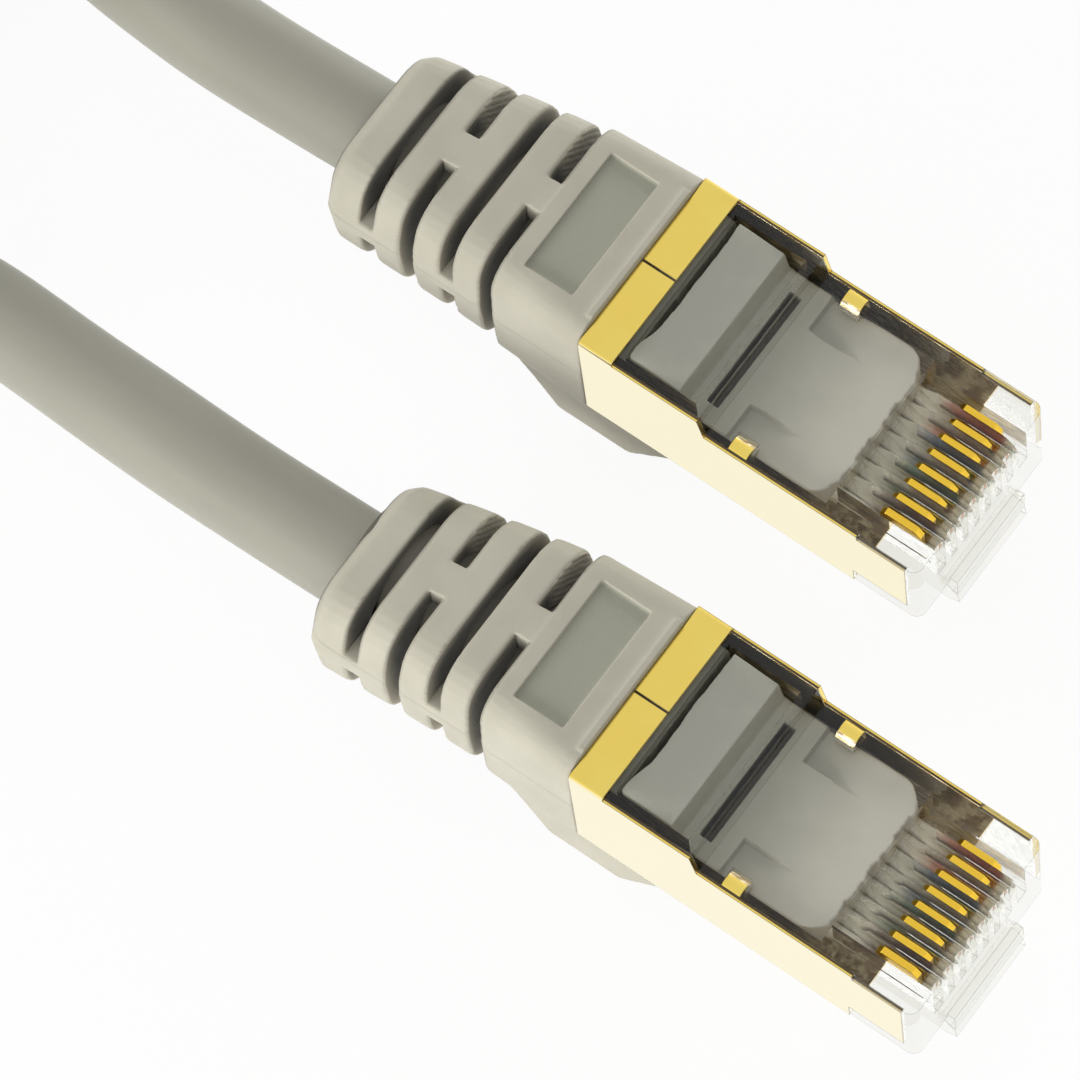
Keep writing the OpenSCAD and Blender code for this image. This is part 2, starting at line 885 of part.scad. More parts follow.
at_a() housing();  // housing_a
at_a() shell();  // shell_a
at_a() contacts();  // contacts_a
at_a() latch();  // latch_a
at_a() overmould();  // overmould_a
at_a() boot();  // boot_a
at_a() jacket_end();  // jacket_end_a
at_a() braid();  // braid_a
at_a() pair_orange();  // pair_orange_a
at_a() pair_green();  // pair_green_a
at_a() pair_blue();  // pair_blue_a
at_a() pair_brown();  // pair_brown_a
at_a() copper();  // copper_a
at_b() housing();  // housing_b
at_b() shell();  // shell_b
at_b() contacts();  // contacts_b
at_b() latch();  // latch_b
at_b() overmould();  // overmould_b
at_b() boot();  // boot_b
at_b() jacket_end();  // jacket_end_b
at_b() braid();  // braid_b
at_b() pair_orange();  // pair_orange_b
at_b() pair_green();  // pair_green_b
at_b() pair_blue();  // pair_blue_b
at_b() pair_brown();  // pair_brown_b
at_b() copper();  // copper_b
cable_run_a();
cable_coil();
cable_run_b();
coil_tie();
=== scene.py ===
import math

import bpy
import numpy as np
from mathutils import Matrix


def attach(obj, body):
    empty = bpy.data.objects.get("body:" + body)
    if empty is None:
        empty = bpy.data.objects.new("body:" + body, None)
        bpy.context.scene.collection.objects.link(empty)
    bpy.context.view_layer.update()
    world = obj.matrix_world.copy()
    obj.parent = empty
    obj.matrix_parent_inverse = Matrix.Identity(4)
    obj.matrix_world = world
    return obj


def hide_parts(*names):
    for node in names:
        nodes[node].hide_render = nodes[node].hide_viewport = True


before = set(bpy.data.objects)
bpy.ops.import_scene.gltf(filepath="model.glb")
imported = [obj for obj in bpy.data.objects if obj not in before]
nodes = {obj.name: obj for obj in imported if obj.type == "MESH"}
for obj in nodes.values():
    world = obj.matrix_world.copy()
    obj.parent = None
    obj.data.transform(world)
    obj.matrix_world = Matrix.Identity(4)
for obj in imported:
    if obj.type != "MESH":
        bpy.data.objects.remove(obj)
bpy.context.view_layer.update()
scene = bpy.context.scene
scene.view_settings.view_transform = "Standard"
mm = 0.001
mergeGap = 0.0005 * mm  # corners of the solids' loose triangles that are closer than this are one
print("frame loaded:", len(nodes), "nodes")

# Where each plug's own frame starts: the rear of its shell, on the underside of its clear housing
plugAt = {"a": np.array([-9.55, 10.0, 5.8]), "b": np.array([4.45, -10.0, 5.8])}

# The eye: angles in degrees, target and distance in millimetres
camera = {
    "azimuth": 45.33, "elevation": 67.9, "roll": -9.8,
    "target": (-5.78, -4.78, 9.8), "distance": 500.0, "lens": 315.43, "sensor": 36.0,
}


def stand(thing, right, up, back, place):
    # Puts a camera or lamp in the scene by its three axes and its place in metres
    turn = np.eye(4)
    turn[:3, :] = np.column_stack([right, up, back, place])
    thing.matrix_world = Matrix(turn.tolist())
    scene.collection.objects.link(thing)


def makeCamera(c):
    # The eye stands at the azimuth and elevation from the target, and rolls about the line of sight
    a, e, r = (math.radians(c[k]) for k in ("azimuth", "elevation", "roll"))
    back = np.array([math.sin(a) * math.cos(e), -math.cos(a) * math.cos(e), math.sin(e)])
    right = np.cross(-back, [0, 0, 1])
    right /= np.linalg.norm(right)
    up = np.cross(right, -back)
    rolledRight = math.cos(r) * right + math.sin(r) * up
    rolledUp = -math.sin(r) * right + math.cos(r) * up
    data = bpy.data.cameras.new("studioCamera")
    data.lens, data.sensor_width = c["lens"], c["sensor"]
    data.clip_start, data.clip_end = 0.01, 10.0
    eye = bpy.data.objects.new("studioCamera", data)
    place = (np.array(c["target"]) + c["distance"] * back) * mm
    stand(eye, rolledRight, rolledUp, back, place)
    scene.camera = eye


makeCamera(camera)
print("camera placed")


def toLinear(colour):
    # One sRGB hex colour as a linear one with alpha 1
    s = np.array([int(colour[i:i + 2], 16) / 255 for i in (1, 3, 5)])
    s = np.where(s <= 0.04045, s / 12.92, ((s + 0.055) / 1.055) ** 2.4)
    return (*s.tolist(), 1.0)


def startMaterial(name):
    # A new material with its Principled node
    material = bpy.data.materials.new(name)
    material.use_nodes = True
    return material, material.node_tree, material.node_tree.nodes["Principled BSDF"]


def setInputs(tree, node, inputs):
    # Sockets are linked, hex colours and plain values are written
    for key, value in inputs.items():
        if isinstance(value, bpy.types.NodeSocket):
            tree.links.new(value, node.inputs[key])
        else:
            node.inputs[key].default_value = toLinear(value) if isinstance(value, str) else value


def addNode(tree, kind, inputs=None, out=0, **settings):
    # One shader node with its settings; each input is a socket, a hex colour or a plain value
    node = tree.nodes.new("ShaderNode" + kind)
    for name, value in settings.items():
        setattr(node, name, value)
    setInputs(tree, node, inputs or {})
    return node.outputs[out]


# Settings that many nodes share
rgba = {"data_type": "RGBA"}
smooth = {"interpolation_type": "SMOOTHSTEP"}


def plugCoordinates(tree, side):
    # Object coordinates turned to millimetres, from the plug's own start if there is a side: the vector
    # and its three parts
    place = addNode(tree, "TexCoord", out="Object")
    start = plugAt[side] if side else np.zeros(3)
    inputs = {"Vector": place, "Location": tuple(-start), "Scale": (1000, 1000, 1000)}
    at = addNode(tree, "Mapping", inputs)
    return at, [addNode(tree, "SeparateXYZ", {0: at}, out=i) for i in range(3)]


def makeMesh(name, points, faces, sharpAngle=None):
    # A mesh from arrays of points in millimetres and of quads or triangles
    mesh = bpy.data.meshes.new(name)
    mesh.from_pydata((np.asarray(points, float) * mm).tolist(), [], [list(f) for f in faces])
    mesh.validate()
    mesh.polygons.foreach_set("use_smooth", np.ones(len(mesh.polygons), bool))
    if sharpAngle is not None:
        mesh.set_sharp_from_angle(angle=math.radians(sharpAngle))
    mesh.update()
    piece = bpy.data.objects.new(name, mesh)
    scene.collection.objects.link(piece)
    return piece


def gridFaces(rows, columns, wrap=False):
    # The quads of a grid of points kept row by row; wrap joins the last column to the first
    i = np.arange(rows - 1)[:, None] * columns
    j = np.arange(columns if wrap else columns - 1)[None, :]
    k = (j + 1) % columns
    return np.stack([i + j, i + k, i + columns + k, i + columns + j], axis=-1).reshape(-1, 4)


def keepValues(mesh, name, kind, values):
    # A value for each point, by name, that a material can read
    kept = mesh.attributes.new(name, kind, "POINT")
    field = "vector" if kind == "FLOAT_VECTOR" else "value"
    kept.data.foreach_set(field, values.astype(np.float32).ravel())


def smoothStep(t):
    # 0 up to t = 0, 1 from t = 1 on, and three squares less two cubes between
    t = np.clip(t, 0, 1)
    return t * t * (3 - 2 * t)


# The cable: one cord from boot to boot by way of the coil
cable = {
    "diameter": 5.7, "sides": 48, "ringStep": 1.0,
    "coilAt": (-85.3, -4.0), "coilStart": 56.0, "coilTurns": 2 + 260 / 360, "turnPitch": 6.2,
    "coilMiddle": 57.0, "coilLow": 3.55, "stepsOfCoil": 65,
    "ripple": 0.012, "rippleLay": 62.0, "rippleFade": 12.0,
    "tone": "#8A887C", "tonePale": "#908E81", "streakTone": "#7B7A6F",
}
# How far each strain relief leans at its cable end, across and down, and where it starts to bend
lean = {"a": (-0.57, -0.25), "b": (-0.93, -0.9), "from": -5.9, "to": -17.3, "power": 1.3, "axisZ": 3.8}
exitA, exitB = (plugAt[s] + np.array([lean["to"], lean[s][0], lean["axisZ"] + lean[s][1]]) for s in "ab")


def leanAt(x, side):
    # The bend grows from nothing at the block to the full lean at the cable end
    share = np.clip((x - lean["from"]) / (lean["to"] - lean["from"]), 0, 1) ** lean["power"]
    return share[:, None] * np.array([[0.0, *lean[side]]])


def coilPoints(c, turns):
    # A flat outer ring, a step in that climbs to the next layer, and a step out again to the top ring
    total, pitch = c["coilTurns"], c["turnPitch"]
    start = total / 2 - 1
    u = np.clip((np.minimum(turns, total - turns) - start) / (1 - start), 0, 1)
    radius = c["coilMiddle"] / 2 + pitch / 2 - pitch * (1 - np.cos(math.pi * u)) / 2
    u = np.clip(2 * (turns - total / 2) + 0.5, 0, 1)
    height = c["coilLow"] + pitch * (1 - np.cos(math.pi * u)) / 2
    angle = np.radians(c["coilStart"]) + 2 * math.pi * turns
    x0, y0 = c["coilAt"]
    place = np.stack([x0 + radius * np.cos(angle), y0 + radius * np.sin(angle), height], axis=-1)
    way = np.stack([-np.sin(angle), np.cos(angle), 0 * angle], axis=-1)
    return place, way


def cableRoute(c):
    # The chosen points of the whole route, from boot a to boot b
    d = c["diameter"]
    coil, way = coilPoints(c, np.linspace(0, c["coilTurns"], c["stepsOfCoil"] + 1))
    coilIn, coilOut = coil[0] - d * way[0], coil[-1] + d * way[-1]
    runA = [
        exitA, [-32.5, 9.27, 9.2],
        [-37.5, 9.32, 8.85], [-41.5, 9.7, 8.2], [-46.5, 10.5, 6.9], [-51.8, 12.2, 5.2],
        coilIn - d * way[0], coilIn,
    ]
    runB = [
        exitB, [-18.5, -10.95, 8.35],
        [-23.5, -10.87, 7.9], [-28, -10.63, 7.25], [-33, -10.24, 6.2], [-37.5, -9.83, 5.2],
        [-42.0, -9.75, 4.5], [-46.6, -11.0, 5.3], [-50.6, -14.2, 7.9],
        coilOut + d * way[-1], coilOut,
    ]
    return np.concatenate([runA, coil, runB[::-1]]).astype(float)


def splineThrough(points, step):
    # A natural cubic spline through the points, by distance along them, read off about every step
    h = np.linalg.norm(np.diff(points, axis=0), axis=1)
    at = np.concatenate([[0], np.cumsum(h)])
    n = len(points)
    matrix, right = np.eye(n), np.zeros((n, 3))
    k = np.arange(1, n - 1)
    matrix[k, k - 1], matrix[k, k], matrix[k, k + 1] = h[:-1], 2 * (h[:-1] + h[1:]), h[1:]
    slope = np.diff(points, axis=0) / h[:, None]
    right[1:-1] = 6 * (slope[1:] - slope[:-1])
    second = np.linalg.solve(matrix, right)
    s = np.linspace(0, at[-1], int(round(at[-1] / step)) + 1)
    i = np.clip(np.searchsorted(at, s, side="right") - 1, 0, n - 2)
    t, hi = (s - at[i])[:, None], h[i][:, None]
    a, b = points[i], points[i + 1]
    ma, mb = second[i], second[i + 1]
    return (
        ma * (hi - t) ** 3 / (6 * hi) + mb * t ** 3 / (6 * hi)
        + (a / hi - ma * hi / 6) * (hi - t) + (b / hi - mb * hi / 6) * t
    )


def makeCable(c):
    # Each ring is a circle square to the route, a little fuller where the pairs inside cross
    line = splineThrough(cableRoute(c), c["ringStep"])
    along = np.concatenate([[0], np.cumsum(np.linalg.norm(np.diff(line, axis=0), axis=1))])
    way = np.gradient(line, axis=0)
    way /= np.linalg.norm(way, axis=1)[:, None]
    side = np.cross([0, 0, 1], way)
    side /= np.linalg.norm(side, axis=1)[:, None]
    top = np.cross(way, side)
    angle = np.linspace(0, 2 * math.pi, c["sides"], endpoint=False) - math.pi / 2
    lay = 2 * math.pi * along[:, None] / c["rippleLay"]
    fade = smoothStep(np.minimum(along, along[-1] - along) / c["rippleFade"])[:, None]
    ripple = np.cos(4 * (angle[None, :] - lay)) + 0.6 * np.cos(2 * angle[None, :] + 1.7 * lay)
    share = fade * ripple / 1.6  # 1.6 is the most that the two waves add up to
    radius = c["diameter"] / 2 * (1 + c["ripple"] * share - c["ripple"])
    cos, sin = np.cos(angle)[None, :, None], np.sin(angle)[None, :, None]
    rings = line[:, None, :] + radius[:, :, None] * (cos * side[:, None, :] + sin * top[:, None, :])
    rows, columns = rings.shape[:2]
    points = np.concatenate([rings.reshape(-1, 3), line[[0, -1]]])
    j = np.arange(columns)
    k, last = (j + 1) % columns, (rows - 1) * columns
    first, end = rows * columns, rows * columns + 1
    walls = gridFaces(rows, columns, wrap=True)
    caps = np.concatenate([
        np.stack([k, j, np.full(columns, first)], axis=-1),
        np.stack([last + j, last + k, np.full(columns, end)], axis=-1),
    ])
    piece = makeMesh("patchCable", points, [*walls.tolist(), *caps.tolist()], 40)
    # The place round and along the jacket, in millimetres, so that a pattern runs with the cable
    r = c["diameter"] / 2
    around = np.broadcast_arrays(r * np.cos(angle), r * np.sin(angle), along[:, None])
    around = np.concatenate([np.stack(around, axis=-1).reshape(-1, 3), [[0, 0, 0], [0, 0, along[-1]]]])
    keepValues(piece.data, "jacketLay", "FLOAT_VECTOR", around)
    return piece, line, along[-1]


def extrudedPvc(c):
    # Soft PVC, extruded: a dull skin with faint streaks along it and slow changes of tone
    material, tree, skin = startMaterial("greyPvcExtruded")
    lay = addNode(tree, "Attribute", out="Vector", attribute_name="jacketLay")
    drawn = addNode(tree, "Mapping", {0: lay, "Scale": (2, 2, 0.07)})
    streaks = addNode(tree, "TexNoise", {0: drawn, "Scale": 1.0, "Detail": 3.0, "Roughness": 0.6})
    long = addNode(tree, "Mapping", {0: lay, "Scale": (1, 1, 0.3)})
    clouds = addNode(tree, "TexNoise", {0: long, "Scale": 0.2, "Detail": 2.0})
    share = addNode(tree, "MapRange", {0: clouds, 1: 0.3, 2: 0.7}, **smooth)
    tone = addNode(tree, "Mix", {0: share, 6: c["tone"], 7: c["tonePale"]}, 2, **rgba)
    share = addNode(tree, "Math", {0: streaks, 1: 0.15}, operation="MULTIPLY")
    tone = addNode(tree, "Mix", {0: share, 6: tone, 7: c["streakTone"]}, 2, **rgba)
    rough = addNode(tree, "MapRange", {0: streaks, 3: 0.42, 4: 0.56})
    grain = addNode(tree, "TexNoise", {0: lay, "Scale": 8.0, "Detail": 2.0})
    height = addNode(tree, "Math", {0: grain, 1: 0.35, 2: streaks}, operation="MULTIPLY_ADD")
    normal = addNode(tree, "Bump", {"Height": height, "Distance": 0.012 * mm})
    setInputs(tree, skin, {
        "Base Color": tone, "Roughness": rough, "Normal": normal, "IOR": 1.53,
        "Sheen Weight": 0.8, "Sheen Roughness": 0.3, "Sheen Tint": "#FFFDF4",
    })
    return material


cableCord, cableLine, cableLength = makeCable(cable)
cableCord.data.materials.append(extrudedPvc(cable))
print("cable made:", round(cableLength, 1), "mm")

# The tie: a hook-and-loop strap once round the coil, lapped over itself on top
tie = {
    "width": 20.0, "thickness": 0.6, "corner": 2.0, "cornerSteps": 14, "slack": 0.15, "gap": 0.1,
    "seamAt": 2.0, "lap": 6.75, "lapGap": 0.02, "lapRise": 0.3,
    "edge": 0.25, "edgeSteps": 7, "flatSteps": 24, "step": 0.35,
    "tone": "#1B1C1E", "tonePale": "#34363A", "tuftTone": "#3A3C40",
}


def tieLoop(t, c):
    # The middle line of the strap: a rectangle with round corners in X and Z, once round and a lap more
    pitch, d = c["turnPitch"], c["diameter"]
    outer = c["coilMiddle"] / 2 + pitch / 2
    inner = math.sqrt((outer - pitch - d / 2) ** 2 - (t["width"] / 2) ** 2)
    x1 = c["coilAt"][0] - inner + t["slack"]
    x0 = c["coilAt"][0] - outer - d / 2 - t["slack"]
    z0 = c["coilLow"] - d / 2 - t["gap"]
    z1 = c["coilLow"] + pitch + d / 2 + t["gap"]
    r = t["corner"]
    turn = np.linspace(0, math.pi / 2, t["cornerSteps"])
    # From the seam on top, down the outer side, along the bottom and up the inner side
    corners = []
    centres = ((x0 + r, z1 - r), (x0 + r, z0 + r), (x1 - r, z0 + r), (x1 - r, z1 - r))
    for quarter, (x, z) in enumerate(centres, 1):
        a = quarter * math.pi / 2 + turn
        corners.append(np.stack(np.broadcast_arrays(x, z, np.cos(a), np.sin(a)), axis=-1))
    seam = (x0 + x1) / 2 + t["seamAt"]
    start, end = ([[at, z1 - r, 0.0, 1.0]] for at in (seam, seam - t["lap"]))
    way = np.concatenate([start, *corners, start, end])
    # The lap climbs onto the strap's own start
    grow = np.full(len(way), t["thickness"] / 2)
    grow[-2:] = t["thickness"] * 1.5 + t["lapGap"]
    grow[-3] = t["thickness"] / 2 + t["lapRise"]
    flat = way[:, :2] + (r + grow)[:, None] * way[:, 2:]
    along = np.concatenate([[0], np.cumsum(np.linalg.norm(np.diff(flat, axis=0), axis=1))])
    s = np.linspace(0, along[-1], int(along[-1] / t["step"]))
    line = np.stack([np.interp(s, along, flat[:, 0]), np.interp(s, along, flat[:, 1])], axis=-1)
    out = np.stack([np.interp(s, along, way[:, 2]), np.interp(s, along, way[:, 3])], axis=-1)
    out /= np.linalg.norm(out, axis=1)[:, None]
    return line, out, s


def makeTie(t, c):
    # A flat oblong with round edges, carried along the loop
    line, out, s = tieLoop(t, c)
    turn = np.linspace(0, math.pi, t["edgeSteps"])
    half, thick = t["width"] / 2 - t["edge"], t["thickness"] / 2
    rim, flat = half + t["edge"] * np.sin(turn), np.linspace(half, -half, t["flatSteps"] + 2)[1:-1]
    rise, level = thick * np.cos(turn), np.full(t["flatSteps"], thick)
    across = np.concatenate([rim, flat, -rim, -flat])
    up = np.concatenate([-rise, level, rise, -level])
    rows, columns = len(line), len(across)
    points = np.stack(np.broadcast_arrays(
        line[:, :1] + out[:, :1] * up, across + c["coilAt"][1], line[:, 1:] + out[:, 1:] * up
    ), axis=-1).reshape(-1, 3)
    walls = gridFaces(rows, columns, wrap=True).tolist()
    j = list(range(columns))
    last = (rows - 1) * columns
    piece = makeMesh("coilTie", points, [*walls, j[::-1], [last + i for i in j]], 60)
    lay = np.stack(np.broadcast_arrays(across, up, s[:, None]), axis=-1)
    keepValues(piece.data, "strapLay", "FLOAT_VECTOR", lay)
    return piece


def loopNylon(t):
    # Brushed nylon loop: a soft dark pile of about 0.5 mm tufts that catches light at its rim
    material, tree, pile = startMaterial("nylonLoopWoven")
    lay = addNode(tree, "Attribute", out="Vector", attribute_name="strapLay")
    tufts = addNode(tree, "TexVoronoi", {0: lay, "Scale": 2.2}, "Distance")
    fuzz = addNode(tree, "TexNoise", {0: lay, "Scale": 4.0, "Detail": 4.0, "Roughness": 0.7})
    tone = addNode(tree, "Mix", {0: fuzz, 6: t["tone"], 7: t["tonePale"]}, 2, **rgba)
    share = addNode(tree, "MapRange", {0: tufts, 1: 0.0, 2: 0.6}, **smooth)
    tone = addNode(tree, "Mix", {0: share, 6: t["tuftTone"], 7: tone}, 2, **rgba)
    height = addNode(tree, "Math", {0: fuzz, 1: tufts}, operation="SUBTRACT")
    normal = addNode(tree, "Bump", {"Height": height, "Distance": 0.12 * mm})
    setInputs(tree, pile, {
        "Base Color": tone, "Normal": normal, "Roughness": 0.9, "IOR": 1.53,
        "Sheen Weight": 0.5, "Sheen Roughness": 0.5, "Sheen Tint": "#8A8D94",
    })
    return material


coilTie = makeTie(tie, cable)
coilTie.data.materials.append(loopNylon(tie))
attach(coilTie, "cable")
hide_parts("coil_tie")
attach(cableCord, "cable")
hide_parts("cable_run_a", "cable_coil", "cable_run_b")
print("tie made and cord declared")

# The boots: the moulded shape with its edges softened
boot = {
    "voxel": 0.09, "facesKept": 0.4, "softness": 0.5, "softenings": 7, "keptSharp": 0.12,
    "endX": -16.2, "endSoftenings": 14,
    "panelX": (-4.85, -1.7), "panelHalf": 3.95, "panelFloor": 8.4, "panelRim": 0.35, "floorRim": 0.25,
    "lipX": -0.8, "lipHalf": 4.4, "lipRim": (0.25, 0.2), "lipShift": 0.38, "slideFrom": -1.5,
    "ribFrom": -5.6, "ribGrowth": 0.12, "shortSlots": (-6.9, -12.3),
    "halfWidth": 5.9, "middleZ": 3.9, "halfHeight": 4.95, "bandStep": 0.2, "bandReach": 6,
    "flankLimit": 0.97, "coreLimit": 0.76, "darkDepth": 0.3,
    # Tones, with painted light on the rib flanks and painted shade down in the slots
    "tone": "#A7A394", "tonePale": "#ADA99A", "paintedFlankLight": "#CFC8B4", "paintedSlotShade": "#26231A",
    "partingAt": 3.8, "partingTone": "#807D72", "panelTone": "#939384",
    # Drag marks, on a tan patch of painted light at the slots' open ends
    "dragPitch": 0.75, "paintedSlotEndLight": "#CBC4AF", "slotEndLightShare": 0.8, "strokeTone": "#6B6350", "strokeShare": 0.6,
}


def finished(work, steps):
    # The mesh that a piece has after the named modifiers
    for kind, settings in steps:
        modifier = work.modifiers.new(kind.lower(), kind)
        for name, value in settings.items():
            setattr(modifier, name, value)
    done = bpy.data.meshes.new_from_object(work.evaluated_get(bpy.context.evaluated_depsgraph_get()))
    work.modifiers.clear()
    old = work.data
    work.data = done
    bpy.data.meshes.remove(old)
    return done


def readPoints(mesh, key):
    # A value of three parts for each vertex, as rows
    values = np.zeros(len(mesh.vertices) * 3, np.float32)
    mesh.vertices.foreach_get(key, values)
    return values.reshape(-1, 3)


def makeBoot(side, b):
    # The solid's own surface, filled again with small even faces, smoothed, thinned and leaned
    work = bpy.data.objects.new("bootSkin_" + side, nodes["boot_" + side].data.copy())
    scene.collection.objects.link(work)
    mesh = finished(work, [
        ("WELD", {"merge_threshold": mergeGap}),
        ("REMESH", {"mode": "VOXEL", "voxel_size": b["voxel"] * mm, "use_smooth_shade": True}),
    ])
    x, y, z = (readPoints(mesh, "co") / mm - plugAt[side]).T
    # The sunk panel and the lip keep their edges; all others are rounded
    (low, high), rim, (lipRear, lipSide) = b["panelX"], b["panelRim"], b["lipRim"]
    panel = (x > low - rim) & (x < high + rim) & (np.abs(y) < b["panelHalf"] + rim)
    lip = (x > b["lipX"] - lipRear) & (np.abs(y) < b["lipHalf"] + lipSide)
    crisp = (panel | lip) & (z > b["panelFloor"] - b["floorRim"])
    soft = work.vertex_groups.new(name="soft")
    soft.add(np.nonzero(~crisp)[0].tolist(), 1.0, "REPLACE")
    soft.add(np.nonzero(crisp)[0].tolist(), b["keptSharp"], "REPLACE")
    rounded = work.vertex_groups.new(name="rounded")
    rounded.add(np.nonzero(x < b["endX"])[0].tolist(), 1.0, "REPLACE")
    mesh = finished(work, [
        ("SMOOTH", {"factor": b["softness"], "iterations": b["softenings"], "vertex_group": "soft"}),
        ("SMOOTH", {"factor": b["softness"], "iterations": b["endSoftenings"], "vertex_group": "rounded"}),
        ("DECIMATE", {"ratio": b["facesKept"]}),
    ])
    work.vertex_groups.clear()
    place, normalX = readPoints(mesh, "co") / mm, readPoints(mesh, "normal")[:, 0]
    x, y, z = (place - plugAt[side]).T
    # The ribs grow a little into the slots
    rib = smoothStep((np.abs(normalX) - 0.5) / 0.3) * (x < b["ribFrom"]) * (x > b["endX"])
    place[:, 0] += b["ribGrowth"] * rib * np.sign(normalX)
    # How far out each point lies, against the widest of the bands near it, gives its depth in a slot
    reach = (np.abs(y / b["halfWidth"]) ** 4 + np.abs((z - b["middleZ"]) / b["halfHeight"]) ** 4) ** 0.25
    step, near = b["bandStep"], b["bandReach"]
    bands = np.arange(x.min() - step, 2 * step, step)
    number = np.digitize(x, bands) - 1
    widest = np.zeros(len(bands))
    np.maximum.at(widest, number.clip(0, len(bands) - 1), reach)
    widest = np.array([widest[max(i - near, 0):i + near + 1].max() for i in range(len(bands))])
    # Painted shade: rib flanks darken from just below their tops, and the core between them only far down
    flank = smoothStep((np.abs(normalX) - 0.45) / 0.35)
    limit = b["coreLimit"] + (b["flankLimit"] - b["coreLimit"]) * flank
    deep = smoothStep((limit - reach / np.interp(x, bands, widest)) / b["darkDepth"]) * (x < b["ribFrom"])
    keepValues(mesh, "paintedShadeDepth", "FLOAT", deep)
    # The lip's rear edge slides forward until the lip lies close along the shell
    onTop = smoothStep((z - b["panelFloor"] + 0.2) / 0.3)
    start = b["slideFrom"]
    slid = np.interp(x, [start, b["lipX"], 0.0], [start, b["lipX"] + b["lipShift"], 0.0]) - x
    place[:, 0] += slid * onTop * (x > start) * (x < 0)
    place = (place + leanAt(place[:, 0] - plugAt[side][0], side)) * mm
    mesh.vertices.foreach_set("co", place.astype(np.float32).ravel())
    mesh.materials.clear()
    mesh.polygons.foreach_set("use_smooth", np.ones(len(mesh.polygons), bool))
    mesh.update()
    print("boot", side, "has", len(mesh.polygons), "faces")
    return work


